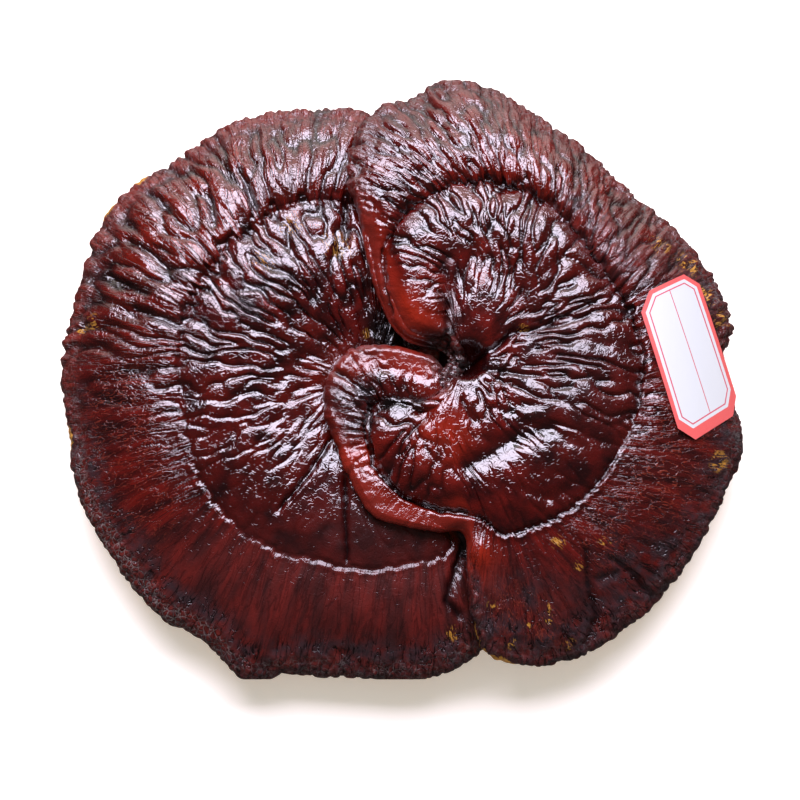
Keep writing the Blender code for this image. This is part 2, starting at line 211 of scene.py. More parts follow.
# %% Spin the blank
LEFT_RINGS = (11, 43, 36)
RIGHT_RINGS = (21, 33, 36)
CROWN_ANGLE = 62
RIM_ANGLES = [54, 46, 37, 27, 16, 4, -8, -20, -33, -46, -60]
UNDER_RADII = [3, 2.7, 2.3, 1.9, 1, 0]
PORE_SIDE_LEVEL = -0.9
SPIN_STEPS = 90
INNER_SPREAD = 0.8
OUTER_SPREAD = ([0, 0.3, 0.75, 1], [0, 0.22, 0.78, 1])


def turned_blank(name, rings):
    """Disc of radius 3 with a half-round edge, with so many rings to the mound, furrow and rim."""
    mound, inner, outer = (np.linspace(0, 1, count + 1)[1:] for count in rings)
    outer = np.interp(outer, *OUTER_SPREAD)
    profile = [(radius, 1) for radius in (0, *mound, *(1 + inner**INNER_SPREAD), *(2 + outer))]
    profile += [(3 + math.cos(math.radians(a)), math.sin(math.radians(a))) for a in RIM_ANGLES]
    profile += [(radius, -1) for radius in UNDER_RADII]
    shape = bmesh.new()
    ring = [shape.verts.new((radius, 0, height)) for radius, height in profile]
    edges = [shape.edges.new(pair) for pair in zip(ring, ring[1:])]
    bmesh.ops.spin(shape, geom=ring + edges, cent=(0, 0, 0), axis=(0, 0, 1), angle=math.tau,
                   steps=SPIN_STEPS, use_merge=True, use_normal_flip=False, use_duplicate=False)
    bmesh.ops.remove_doubles(shape, verts=shape.verts[:], dist=0.00001)
    around = [e for e in shape.edges if (e.verts[0].co - e.verts[1].co).xy.length > 0.0001
              and abs(e.verts[0].co.xy.length - e.verts[1].co.xy.length) < 0.0001]
    bmesh.ops.subdivide_edges(shape, edges=around, cuts=SPOKES // SPIN_STEPS - 1,
                              use_grid_fill=False)
    bmesh.ops.triangulate(shape, faces=[f for f in shape.faces if len(f.verts) > 4])
    bmesh.ops.recalc_face_normals(shape, faces=shape.faces[:])
    for face in shape.faces:
        face.smooth = True
        face.material_index = int(face.calc_center_median().z < PORE_SIDE_LEVEL)
    mesh = bpy.data.meshes.new(name)
    shape.to_mesh(mesh)
    shape.free()
    return mesh


def read_points(mesh, what="co"):
    """A mesh's points or normals as an array with a row for each vertex."""
    values = np.empty(len(mesh.vertices) * 3, np.float32)
    mesh.vertices.foreach_get(what, values)
    return values.reshape(-1, 3).astype(float)


def write_points(mesh, points):
    """Put a mesh's vertices at the points of an array."""
    mesh.vertices.foreach_set("co", points.astype(np.float32).ravel())
    mesh.update()


# %% [markdown]
# ## Warping the blank into a plain cap
# Every vertex of the blank goes to its place on its spoke.  In plan, it lies between the centre,
# the mound, the furrow and the crown.  The rim is half round, and its radius is 5.6 mm where the
# edge lies low, 4.4 mm where it stands high, and less where the band beside it is narrow.

# %% The spoke that each vertex is on
RIM_RADIUS_LOW, RIM_RADIUS_HIGH = 5.6, 4.4
RIM_LOW_LEVEL, RIM_HIGH_LEVEL = 16.0, 36.0
RIM_SHARE = 0.36
CROWN_OUT, CROWN_UP = math.cos(math.radians(CROWN_ANGLE)), math.sin(math.radians(CROWN_ANGLE))


def spoke_points(centre, spokes, number):
    """The points, outward direction, band width and rim of the spoke that each vertex is on."""
    edge, furrow, mound = (line[number] for line in spokes)
    outward = edge[:, :2] - furrow[:, :2]
    width = np.linalg.norm(outward, axis=1)
    outward = outward / width[:, None]
    high = smooth_step(RIM_LOW_LEVEL, RIM_HIGH_LEVEL, edge[:, 2])
    rim = np.minimum(RIM_RADIUS_LOW + (RIM_RADIUS_HIGH - RIM_RADIUS_LOW) * high, RIM_SHARE * width)
    rim_centre = edge[:, :2] - outward * rim[:, None]
    crown = np.column_stack([rim_centre + CROWN_OUT * rim[:, None] * outward,
                             edge[:, 2] + CROWN_UP * rim])
    return SimpleNamespace(
        centre=np.broadcast_to(np.array(centre, float), edge.shape), mound=mound, furrow=furrow,
        crown=crown, edge=edge, outward=outward, width=width, rim=rim, rim_centre=rim_centre)


# %% [markdown]
# The upper side follows the same rules as the solid's: a mound round the pit, a low dome up to
# the furrow, and an outer band that is nearly level at first and then bows down to the rim.  A
# crest swells the band on the far side, and round swellings lift or sink the skin where the real
# cap has them.

# %% Height of the upper side
PIT_RADIUS = 8.0
DOME, DOME_SKEW = 3.0, 1.25
BAND_BOW = 1.8
CREST_SKEW, CREST_SHARE = 0.6, 0.25


def upper_side(point, radius, spoke, swellings, far_crest):
    """Level of the upper side at every vertex."""
    from_centre = np.linalg.norm(point[:, :2] - spoke.centre[:, :2], axis=1)
    rise = np.maximum(smooth_step(0.2 * PIT_RADIUS, PIT_RADIUS, from_centre), radius**2)
    near_centre = spoke.centre[:, 2] + (spoke.mound[:, 2] - spoke.centre[:, 2]) * rise
    dome = point[:, 2] + DOME * np.sin(math.pi * np.clip(radius - 1, 0, 1) ** DOME_SKEW)
    t = np.clip(radius - 2, 0, 1)
    band = spoke.furrow[:, 2] + (spoke.crown[:, 2] - spoke.furrow[:, 2]) * t**BAND_BOW
    far = smooth_step(3, 12, spoke.width) * smooth_step(-0.3, 0.5, spoke.outward[:, 1])
    crest = np.minimum(far_crest * far, CREST_SHARE * spoke.width)
    band += crest * np.sin(math.pi * t**CREST_SKEW)
    level = np.select([radius < 1, radius < 2], [near_centre, dome], band)
    for at, reach, height in swellings:
        away = ((point[:, :2] - at) / reach) ** 2
        level += height * np.exp(-away.sum(axis=1)) * smooth_step(3, 2.6, radius)
    return level


# %% [markdown]
# The underside arches up from the rim.  The warp also measures what the skin needs to know of
# each vertex: its place on the spoke, its distance from the furrow and from the edge, and how
# far round the cap goes there.

# %% Warp
UNDERSIDE_LEVEL, UNDERSIDE_RADIUS = 18.0, 1.9
LIP_THICKNESS = 4.0
CENTRE_SPAN = 0.01


def between(knots, radius):
    """Rows between the centre, mound, furrow and crown values, at radii on the blank."""
    zone = np.minimum(2, radius.astype(int))
    part = (np.minimum(3, radius) - zone)[:, None]
    rows = np.arange(len(radius))
    return knots[zone, rows] * (1 - part) + knots[zone + 1, rows] * part


def read_blank(mesh):
    """Turn, radius and layer of every vertex of a blank.  Cuts in a straight side are rounded."""
    blank = read_points(mesh)
    turn = -np.arctan2(blank[:, 1], blank[:, 0]) / math.tau
    off_middle = ((turn * SPIN_STEPS) % 1 - 0.5) * math.tau / SPIN_STEPS
    bulge = np.cos(off_middle) / math.cos(math.pi / SPIN_STEPS)
    return turn, np.hypot(blank[:, 0], blank[:, 1]) * bulge, blank[:, 2]


def plain_cap(mesh, centre, stations, swellings, far_crest, floor=None):
    """Warp a blank and return what the skin needs to know of each vertex."""
    spokes, places = lay_spokes(stations)
    turn, radius, layer = read_blank(mesh)
    number = np.rint(turn * SPOKES).astype(int) % SPOKES
    spoke = spoke_points(centre, spokes, number)
    edge, rim, outward = spoke.edge, spoke.rim, spoke.outward
    point = between(np.stack([spoke.centre, spoke.mound, spoke.furrow, spoke.crown]), radius)

    low = edge[:, 2] - rim
    under = low + (UNDERSIDE_LEVEL - low) * smooth_step(3, UNDERSIDE_RADIUS, radius)
    upper = upper_side(point, radius, spoke, swellings, far_crest)
    point[:, 2] = np.where(layer > 0, upper, under)
    on_rim = radius > 3.0001
    point[on_rim, :2] = (spoke.rim_centre + outward * (rim * (radius - 3))[:, None])[on_rim]
    point[on_rim, 2] = (edge[:, 2] + rim * layer)[on_rim]
    if floor:
        lifted = floor(point[:, :2]) + LIP_THICKNESS * (layer + 1) / 2
        point[:, 2] = np.maximum(point[:, 2], lifted)
    write_points(mesh, point * MM)

    spans = [np.linalg.norm(np.roll(line, -1, axis=0) - np.roll(line, 1, axis=0), axis=1)[number]
             * SPOKES / 2 for line in spokes]
    knots = np.stack([np.full(len(radius), CENTRE_SPAN), *reversed(spans)])[:, :, None]
    to_furrow = (radius - 2) * np.linalg.norm(spoke.furrow - spoke.mound, axis=1)
    past_furrow = (np.clip(radius - 2, 0, 1) * (spoke.width - (1 - CROWN_OUT) * rim)
                   + rim * np.maximum(0, radius - 3 - CROWN_OUT))
    return {
        "plan": point[:, :2], "x": point[:, 0], "y": point[:, 1], "turn": number / SPOKES,
        "place": places[number], "top": (layer > PORE_SIDE_LEVEL).astype(float), "layer": layer,
        "along": np.where(radius < 2, to_furrow, past_furrow),
        "span": between(knots, radius)[:, 0],
        "inside": np.sum((edge[:, :2] - point[:, :2]) * outward, axis=1),
        "girths": [float(np.mean(line[:, 0])) for line in knots[1:]],
    }


# %% [markdown]
# ## Noise and lines for the skin
# The crust is wrinkled like a dried skin.  Its wrinkles are long along the spokes and short
# across them.  They could be a picture of heights, but then their size would hang on the picture.
# Here they come from smooth noise at points on a cylinder: round it goes the turn of the spoke,
# and along it the distance from the furrow in millimetres, pressed together so that every bump
# gets long.  Where the noise crosses zero runs a sharp trough, and the bumps beside it are
# rounded off like pillows.

# %% Noise
def smooth_noise(points, seed):
    """Smooth noise from about -1 to 1 at rows of three numbers, with a bump about every unit."""
    cell = np.floor(points).astype(np.int64)
    part = points - cell
    ease = part**3 * (part * (part * 6 - 15) + 10)
    total = np.zeros(len(points))
    for corner in np.ndindex(2, 2, 2):
        node = cell + corner
        code = node @ np.array([73856093, 19349663, 83492791]) + seed * 7919
        code = (code ^ (code >> 15)) * 2246822519 & 0xFFFFFFFF
        code = (code ^ (code >> 13)) * 3266489917 & 0xFFFFFFFF
        code ^= code >> 16
        slope = np.column_stack([code & 255, code >> 8 & 255, code >> 16 & 255]) / 127.5 - 1
        weight = np.prod(np.where(corner, ease, 1 - ease), axis=1)
        total += weight * np.sum(slope * (part - corner), axis=1)
    return 1.2 * total


def along_spokes(skin, cells, stretch, seed, wander=0.8):
    """Noise with so many bumps round the cap, each so many millimetres long, that wanders."""
    ring = cells / math.tau
    angle = math.tau * skin["turn"]
    broad = np.column_stack([np.cos(angle) * ring / 3, np.sin(angle) * ring / 3,
                             skin["along"] / (1.3 * stretch)])
    angle = angle + wander * smooth_noise(broad, seed + 50) / ring
    short = np.column_stack([np.cos(angle) * ring / 1.5, np.sin(angle) * ring / 1.5,
                             skin["along"] / (0.4 * stretch)])
    angle = angle + 0.45 * wander * smooth_noise(short, seed + 51) / ring
    return smooth_noise(np.column_stack([np.cos(angle) * ring, np.sin(angle) * ring,
                                         skin["along"] / stretch]), seed)


def all_round(skin, size, seed):
    """Noise with round bumps of a size in millimetres."""
    plan = skin["plan"] / size
    return smooth_noise(np.column_stack([plan, skin["layer"]]), seed)


def pillows(noise, softness):
    """Round-topped ridges: 1 on top and 0 in the sharp trough where the noise crosses zero."""
    return 1 - np.exp(-(np.hypot(noise, 0.02) - 0.02) / softness)


def from_line(skin, line, wobble=0.8):
    """Distance in millimetres from a bent line, made a little uneven."""
    uneven = np.column_stack([all_round(skin, 3, 71), all_round(skin, 3, 72)])
    plan = skin["plan"] + wobble * uneven
    best = np.full(len(plan), 1e9)
    for start, end in zip(line, line[1:]):
        run = np.subtract(end, start)
        t = np.clip((plan - start) @ run / (run @ run), 0, 1)
        best = np.minimum(best, np.linalg.norm(plan - start - t[:, None] * run, axis=1))
    return best


def spots(skin, places):
    """Sum of soft round spots: rows of x, y and radius in millimetres."""
    return sum(np.exp(-(((skin["plan"] - (x, y)) / size) ** 2).sum(axis=1))
               for x, y, size in places)


# %% [markdown]
# ## The growth furrow
# Where the cap's growth paused, a jagged furrow runs all round it.  The ridges of the outer band
# push rounded toes over it, so its line swings in and out with their noise.  On some sides the
# skin outside it is swollen, and on the others it has only a thin bead there.

# %% Growth furrow
FURROW_DEPTH, FURROW_REACH = 1.4, 0.8
BEAD_HEIGHT, BEAD_PLACE = 0.8, 1.3
SWELLING_REACH = 9


def growth_furrow(skin, look, outer_cells):
    """The furrow's strength, 0 to 1, the relief that it makes, and 1 outside it."""
    seed = look["seed"]
    at_furrow = {**skin, "along": np.zeros(len(skin["x"]))}
    side = along_spokes(at_furrow, 1.3 * outer_cells, 20, seed + 3)
    toes = look["toes"](skin) * (2 * smooth_step(-0.15, 0.15, side) - 1)
    past = skin["along"] + (toes + 0.8 * all_round(skin, 3, seed + 7))
    outside = smooth_step(-0.4, 0.4, past)
    patchy = 0.3 + 0.7 * smooth_step(-0.3, 0.2, all_round(skin, 17, seed + 6))
    strength = look["furrow"](skin) * patchy
    furrow = np.exp(-(past / FURROW_REACH) ** 2) * strength
    swollen = look["swollen"](skin)
    swelling = look["swell"] * swollen * np.exp(-np.maximum(0, past) / SWELLING_REACH)
    bead = BEAD_HEIGHT * (1 - swollen) * np.exp(-(past - BEAD_PLACE) ** 2)
    return furrow, strength * outside * (swelling + bead) - FURROW_DEPTH * furrow, outside


# %% [markdown]
# ## Ridges on both sides of it
# Inside the furrow, the skin stands in round-topped ridges with sharp troughs.  Towards the
# centre the spokes close up, so fewer ridges go round there, and last of all plain wrinkles.
# Outside it the ridges are broader and straighter, with a finer stripe over them.

# %% Ridges
def inner_ridges(skin, look, ridge_width):
    """Ridges inside the furrow, 1 on top and 0 in the troughs, and their height."""
    seed, cells = look["seed"], skin["girths"][1] / look["inner_ridge"]
    near, nearer = smooth_step(3.4, 2.8, ridge_width), smooth_step(1.7, 1.2, ridge_width)
    ridge = along_spokes(skin, cells, 14, seed, wander=1.0) * (1 - near)
    ridge += along_spokes(skin, 0.5 * cells, 11, seed + 16) * near * (1 - nearer)
    ridge += 1.1 * all_round(skin, 4.2, seed + 9) * near * nearer
    ridges = pillows(ridge, 0.12)
    cross = pillows(all_round(skin, 9, seed + 14), 0.08)
    return ridges, 1.5 * ridges + 0.2 * cross


def outer_ridges(skin, look, outer_cells):
    """Ridges of the outer band, 1 on top and 0 in the troughs, and their height."""
    seed, length = look["seed"], look["outer_length"]
    broad = along_spokes(skin, outer_cells, length, seed + 3, wander=1.0)
    stripe = along_spokes(skin, 2.2 * outer_cells, 0.5 * length, seed + 5)
    ridges = pillows(broad, 0.13)
    return ridges, look["broad"] * ridges + look["stripe"] * pillows(stripe, 0.2)


# %% [markdown]
# ## Rim and creases
# A second furrow runs just inside the rim, and beyond it the skin has broken into small beads.
# Single creases, where the drying cap folded, are the only lines that no noise could place, so
# each is a bent line with a reach and a depth in millimetres.

# %% Rim furrow, beads and creases
RIM_FURROW_DEPTH, RIM_FURROW_REACH = 1.1, 0.8
RIM_BEAD_HEIGHT, RIM_BEAD_SINK = 1.3, 0.9
CREASE_SHADE_DEPTH = 1.5


def rim_beads(skin, look):
    """The rim furrow's strength, 0 to 1, and the relief that it and the beads make."""
    seed, mark, inside = look["seed"], look["rim_mark"](skin), skin["inside"]
    line = look["rim_furrow"] + 2.4 * all_round(skin, 9, seed + 10)
    line += 1.3 * all_round(skin, 3, seed + 11)
    furrow = np.exp(-((inside - line) / RIM_FURROW_REACH) ** 2) * mark
    furrow *= smooth_step(-0.15, 0.25, all_round(skin, 9, seed + 12))
    beads = (0.5 * along_spokes(skin, skin["girths"][2] / look["bead"], 9, seed + 13)
             + 0.6 * all_round(skin, 0.9 * look["bead"], seed + 15)
             + 0.3 * all_round(skin, 14, seed + 19))
    zone = smooth_step(line, line - 2, inside) * mark
    return furrow, (zone * (RIM_BEAD_HEIGHT * pillows(beads, 0.2) - RIM_BEAD_SINK)
                    - RIM_FURROW_DEPTH * furrow)


def single_creases(skin, lines):
    """How much painted shade the creases get, 0 to 1, and the relief that they make."""
    crease_shade, relief = np.zeros(len(skin["x"])), np.zeros(len(skin["x"]))
    for line, reach, depth in lines:
        crease = np.exp(-(from_line(skin, line) / reach) ** 2)
        relief -= depth * crease
        crease_shade = np.maximum(crease_shade, crease * min(1, depth / CREASE_SHADE_DEPTH))
    return crease_shade, relief


# %% [markdown]
# ## The whole skin
# The parts are added up, with soft lumps and, at a few places, a crinkle like crepe.  Wrinkles
# under a millimetre are left to the material, which also gets the values that are kept here: how
# much painted shade darkens a point in a groove, where the grain runs, and how strong the fine
# wrinkles are.

# %% Add up the relief
def crust_relief(skin, look):
    """Height of the skin in millimetres, and what the material needs to know of it."""
    seed, calm = look["seed"], look["calm"](skin)
    _, furrow_girth, edge_girth = skin["girths"]
    outer_cells = 0.5 * (furrow_girth + edge_girth) / look["outer_ridge"]
    ridge_width = skin["span"] / furrow_girth * look["inner_ridge"]
    room = smooth_step(0.4, 2.2, ridge_width)

    furrow, relief, outside = growth_furrow(skin, look, outer_cells)
    inner, inner_height = inner_ridges(skin, look, ridge_width)
    outer, outer_height = outer_ridges(skin, look, outer_cells)
    outer_calm = calm * (0.35 + 0.65 * look["swollen"](skin))
    relief += (1 - outside) * room * calm * inner_height + outside * outer_calm * outer_height

    # Lumps of 11 and 3.5 mm, and crepe
    relief += 0.85 * all_round(skin, 11, seed + 8) * (0.4 + 0.6 * calm)
    relief += 0.15 * all_round(skin, 3.5, seed + 9) * room
    relief += 0.8 * look["crinkle"](skin) * (pillows(all_round(skin, 3.4, seed + 17), 0.15)
                                             + all_round(skin, 8, seed + 18))
    rim_furrow, rim_relief = rim_beads(skin, look)
    crease_shade, crease_relief = single_creases(skin, look["creases"])
    relief += rim_relief + crease_relief

    grooves = np.where(outside > 0.5, (1 - outer) ** 2, room * (1 - inner) ** 1.2)
    # Painted shade: the colour is darkened in the growth furrow, in the troughs between ridges, in
    # the rim furrow and in the creases.
    deep = np.maximum.reduce([furrow, grooves * calm, 0.8 * rim_furrow, crease_shade])
    values = {
        "grain": grain_place(skin), "deep": deep * skin["top"], "fibre": outside,
        "wrinkle": 0.5 + 0.5 * calm, "margin": smooth_step(14, 2, skin["inside"]),
    }
    return relief * skin["top"] * smooth_step(0, 1.2, ridge_width), values


def grain_place(skin):
    """Where a vertex lies along the grain, in millimetres round and along the spokes."""
    ring = skin["girths"][1] / math.tau
    angle = math.tau * skin["turn"]
    return np.column_stack([np.cos(angle) * ring, np.sin(angle) * ring, skin["along"]])


# %% [markdown]
# ## From numbers to a piece
# The relief raises the plain cap along its normals, but never out of the solids' box, and what
# nears the top of the box is rounded off.  The values go on the vertices as attributes, so that
# the material reads them wherever the mesh goes.  A pale ochre growing edge runs low round the
# rim and creeps up on it at a few places.

# %% Grow the skin and keep its values
TOP_SOFTNESS = 1.5
BOX_CLEARANCE = 0.1


def keep_inside(points):
    """Hold points, in metres, inside the solids' box, and round off what nears its top."""
    low, high = (np.array(corner) for corner in cad_box)
    limit = TOP_SOFTNESS * MM
    over = np.maximum(0, points[:, 2] - (high[2] - limit))
    points[:, 2] += limit * (1 - np.exp(-over / limit)) - over
    return np.clip(points, low + BOX_CLEARANCE * MM, high - BOX_CLEARANCE * MM)


def grow_skin(mesh, skin, relief):
    """Raise the plain cap along its normals."""
    points = read_points(mesh) + read_points(mesh, "normal") * relief[:, None] * MM
    write_points(mesh, keep_inside(points))


def keep_values(mesh, values):
    """Store numbers for the material on a mesh's vertices."""
    for name, numbers in values.items():
        kind, field = (("FLOAT_VECTOR", "vector") if numbers.ndim == 2 else ("FLOAT", "value"))
        layer = mesh.attributes.new(name, kind, "POINT")
        layer.data.foreach_set(field, numbers.astype(np.float32).ravel())


def growing_edge(skin, places):
    """1 on the ochre growing edge: low round the whole rim, and higher up at the places given."""
    top = -0.5 + 1.25 * np.clip(spots(skin, places), 0, 1) + 0.35 * all_round(skin, 5, 81)
    return smooth_step(top, top - 0.12, skin["layer"])


def add_piece(name, mesh, node):
    """Put a finished mesh in the scene in place of a solid."""
    piece = bpy.data.objects.new(name, mesh)
    bpy.context.scene.collection.objects.link(piece)
    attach(piece, "root")
    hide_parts(node)
    print(name, len(mesh.polygons), "faces")
    return piece


# %% [markdown]
# ## Left cap
# The lower cap is a broad fan.  Its far half is deeply wrinkled and its near half is calmer, a
# few creases cross it, and small red beads run round its rim.  Its look is a list of numbers and
# of rules that give a number for each vertex: how strong the ridges are (calm), the furrow, the
# toes, the swelling, the rim's beads and the crepe.

# %% Left cap's skin
LEFT_SWELLINGS = [
    ((-88, -30), (14, 22), 1.2),
    ((-60, 70), (22, 10), 1.0),
    ((-10, -88), (26, 9), 1.0),
    ((-42, 30), (30, 19), 3.2),
]
LEFT_LOOK = {
    "seed": 11, "inner_ridge": 6.4, "outer_ridge": 6.0, "outer_length": 22, "rim_furrow": 6.8,
    "bead": 3.6, "swell": 0.9, "broad": 1.6, "stripe": 0.5,
    "calm": lambda skin: ((0.25 + 0.75 * smooth_step(-48, 25, skin["y"]))
                          * (1 - 0.5 * spots(skin, [(-35, -44, 14)]))),
    "furrow": lambda skin: 0.6 + 0.4 * smooth_step(0, 25, skin["y"]),
    "swollen": lambda skin: smooth_step(-45, 10, skin["y"]),
    "toes": lambda skin: 0.6 + 1.9 * smooth_step(0, 25, skin["y"]),
    "rim_mark": lambda skin: smooth_step(40, -10, skin["x"]) * smooth_step(-70, -20, skin["y"]),
    "crinkle": lambda skin: (1.2 * (smooth_step(-20, -60, skin["y"])
                                    * smooth_step(12, 5, skin["inside"]))),
    "creases": [
        ([(-27.6, -26.1), (-34, -37), (-45.3, -51.2)], 1.0, 1.5),
        ([(-23.0, -40.8), (-22.2, -68.4)], 1.0, 1.8),
        ([(18.3, -63.3), (14.8, -73.6), (12.1, -82.1), (16.5, -87.2)], 1.6, 2.0),
        ([(-23.5, 57.5), (-22.7, 44.7)], 1.4, 2.0),
        ([(-94.0, 63.7), (-90.1, 60.7), (-86.0, 55.6)], 1.3, 1.8),
        ([(-100.7, 45.7), (-92.4, 40.6), (-86.3, 34.4)], 1.5, 2.0),
        ([(-72.7, 62.2), (-70.4, 56.0), (-69.2, 49.0)], 1.3, 1.6),
        ([(-61.0, 70.3), (-58.1, 63.3), (-55.1, 55.6)], 1.2, 1.5),
        ([(-106.7, 33.0), (-99.2, 28.3), (-92.4, 24.6)], 1.4, 1.6),
        ([(-96.9, 19.9), (-88.3, 16.0), (-81.3, 13.5)], 1.2, 1.5),
    ],
}
LEFT_CREST = 2.0

left_mesh = turned_blank("left_crust", LEFT_RINGS)
left_skin = plain_cap(left_mesh, LEFT_CENTRE, LEFT_STATIONS, LEFT_SWELLINGS, LEFT_CREST)
left_relief, left_values = crust_relief(left_skin, LEFT_LOOK)
grow_skin(left_mesh, left_skin, left_relief)
print("left relief from", round(left_relief.min(), 1), "to", round(left_relief.max(), 1), "mm")

# %% [markdown]
# The colours of the skin are values too, and the material mixes its tones by them.  One is
# painted shade, which darkens the grooves, furrows, creases and hollows and the parts that face
# away from the window.  Old is the charcoal film of an old margin, web the dusty beads of the rim,
# ember the fine orange strands, red the young skin and, on the far outer bands, a lighter red
# painted where the window lights them, dull the satin of worn gloss, and worn the ochre flesh where
# the crust is gone.

# %% Left cap's colour values
x, y, inside = left_skin["x"], left_skin["y"], left_skin["inside"]
at = partial(spots, left_skin)
rim_zone = smooth_step(9, 4, inside)
keep_values(left_mesh, {
    **left_values,
    # Painted shade: the troughs and furrows, the gap beside the right cap's edge, and the inner
    # zone's near half, darker towards the near edge, away from the window.
    "deep": np.maximum.reduce([
        left_values["deep"], at([(-13, 13, 7), (-5, 9, 6)]),
        (0.3 + 0.2 * smooth_step(-20, -45, y)) * smooth_step(25, 5, y)
        * (1 - left_values["fibre"])]),
    "old": np.clip(smooth_step(18, 7, inside) * smooth_step(0, -50, y)
                   + 0.4 * smooth_step(13, 7, inside)
                   + 0.5 * at([(-52, 35, 6), (-41, 48, 5), (-57, 22, 6), (-32, 57, 4),
                               (-77, 12, 8)]), 0, 1),
    "web": smooth_step(8, 4, inside) * (0.3 + 0.4 * np.clip(
        at([(-112, -52, 22), (-95, -78, 22), (-75, -92, 14)]), 0, 1)),
    "ember": 0.45 * np.clip(at([(-103, -12, 16), (-98, -35, 14), (-90, -52, 10)]), 0, 1),
    # Partly painted light: the two broad spots on the far outer band give it a lighter red where
    # the window lights it; the rest is the young skin's own red.
    "red": (0.4 * rim_zone * smooth_step(-40, 0, y)
            + 0.25 * at([(-27, -18, 9), (-30, -2, 8), (-90, 50, 28), (-55, 75, 22)])),
    "dull": np.clip(0.3 * smooth_step(20, 75, y) * smooth_step(15, 5, inside)
                    + 0.5 * smooth_step(-45, -75, y)
                    + 0.2 * at([(-24, -52, 13), (-10, -60, 12)]) + 0.3 * rim_zone, 0, 1),
    "worn": (0.4 * at([(-52, 35, 5), (-26, 42, 7), (-42, 48, 5)])
             + 0.6 * at([(-111.9, 16.3, 3), (-117.8, 14.1, 2), (-15.9, 11.2, 2)])
             + 0.75 * at([(14.4, -93, 2.5)])
             + 2.0 * growing_edge(left_skin, [(-110, 60, 7), (-98, 71, 5), (-121, -24, 7)])),
})
left_cap = add_piece("left_crust", left_mesh, "left_cap")

# %% [markdown]
# ## Right cap
# The upper cap rests on the left one.  So the left cap's top is first drawn as a map of heights,
# in squares of a millimetre, and the right cap's underside is kept above it.  Its edge is a
# thick, smooth, brick-red lip on both sides of the pit, and the near lip runs out into a tongue.

# %% Heights of the left cap's top
MAP_CELL = 1.0
MAP_LOW = np.array([-130.0, -115.0])
MAP_SHAPE = (260, 230)
FACET_CLEARANCE = 0.5


def height_map(mesh, spread):
    """Highest level in millimetres of a mesh in each square of a map, spread to its neighbours."""
    points = read_points(mesh) / MM
    cells = np.floor((points[:, :2] - MAP_LOW) / MAP_CELL).astype(int)
    heights = np.zeros(MAP_SHAPE)
    np.maximum.at(heights, tuple(cells.T), points[:, 2])
    for _ in range(spread):
        heights = np.maximum.reduce([np.roll(heights, (i, j), (0, 1))
                                     for i in (-1, 0, 1) for j in (-1, 0, 1)])
    for _ in range(2):
        heights = sum(np.roll(heights, (i, j), (0, 1)) for i in (-1, 0, 1) for j in (-1, 0, 1)) / 9
    return heights


left_heights = height_map(left_mesh, 3)


def above_left(plan):
    """Level that clears the left cap at plan points."""
    cells = np.floor((plan - MAP_LOW) / MAP_CELL).astype(int)
    cells = np.clip(cells, 0, np.array(MAP_SHAPE) - 1)
    return left_heights[tuple(cells.T)] + FACET_CLEARANCE


# %% [markdown]
# A label is stuck on the outer band.  Its sheet slopes outwards and bends down with the cap, as
# the solid's does, and the crust has to stay below it.  The crust could be cut away there, but
# pressed down a little it stays whole, and slopes back up beside the label.

# %% The label's bed
LABEL_THICKNESS, LABEL_WIDTH = 0.4, 25.0
BED_DEPTH, BED_SLOPE, BED_REACH, BED_LEVEL = 0.15, 0.4, 12, 16
LABEL_CENTRE = (97.5, 3.0, 33.4)
LABEL_SLOPE = (-0.5, 0.03)
LABEL_BEND = 0.013
LABEL_OUTLINE = [
    (95.5, 31.4), (101.5, 28.7), (115.3, -9.2), (113.7, -16.6),
    (98.5, -26.7), (92, -23.2), (79.8, 17), (82.8, 24.7),
]
label_start = np.mean([LABEL_OUTLINE[0], LABEL_OUTLINE[7]], axis=0)
label_end = np.mean([LABEL_OUTLINE[3], LABEL_OUTLINE[4]], axis=0)
label_length = np.linalg.norm(label_end - label_start)
label_axis = (label_end - label_start) / label_length


def label_height(x, y):
    """Height of the label at mid-thickness: it slopes outwards and bends down with the cap."""
    out = x - LABEL_CENTRE[0]
    return (LABEL_CENTRE[2] + LABEL_SLOPE[0] * out - LABEL_BEND * out**2
            + LABEL_SLOPE[1] * (y - LABEL_CENTRE[1]))


def press_label_bed(mesh):
    """Lower the crust where it would stand through the label."""
    points = read_points(mesh) / MM
    offset = points[:, :2] - label_start
    along = offset @ label_axis
    across = np.abs(offset @ np.array([label_axis[1], -label_axis[0]]))
    beyond = np.maximum.reduce([-along, along - label_length, across - 0.5 * LABEL_WIDTH,
                                np.zeros(len(along))])
    bed = label_height(points[:, 0], points[:, 1]) - 0.5 * LABEL_THICKNESS - BED_DEPTH
    pressed = np.minimum(points[:, 2], bed + BED_SLOPE * beyond)
    use = (points[:, 2] > BED_LEVEL) & (beyond < BED_REACH)
    points[use, 2] = pressed[use]
    write_points(mesh, points * MM)


# %% [markdown]
# The look is given as for the left cap.  Its edge changes along the way from a lip to a beaded
# rim and back, so some of its rules ask how many rows of the table a vertex is round the cap.

# %% Right cap's skin
RIGHT_SWELLINGS = [
    ((25, 19), (8, 13), 4.2),
    ((12, -20), (8, 9), 2.8),
    ((30, 44), (26, 9), 1.2),
    ((3, 22), (7, 8), 1.5),
    ((22.5, -66), (4.5, 5), 1.8),
    ((73, -87), (10, 9), -2.0),
]
SMOOTH_SPOTS = [(4, 12, 7), (3, 20, 6), (12, -22, 7), (5, -5, 8), (22, 7, 5), (45, -33, 10),
                (13, 26, 4)]


def on_lip(skin):
    """1 along the two red lips, and 0 on the rest of the edge."""
    place = skin["place"]
    return (smooth_step(1.5, 3, place) * smooth_step(9.5, 7.5, place)
            + smooth_step(30.5, 32, place) * smooth_step(44, 42, place))


def on_near_lip(skin):
    """1 along the lip that curls over the left cap, without its tongue."""
    return smooth_step(31, 32.5, skin["place"]) * smooth_step(38.5, 37, skin["place"])


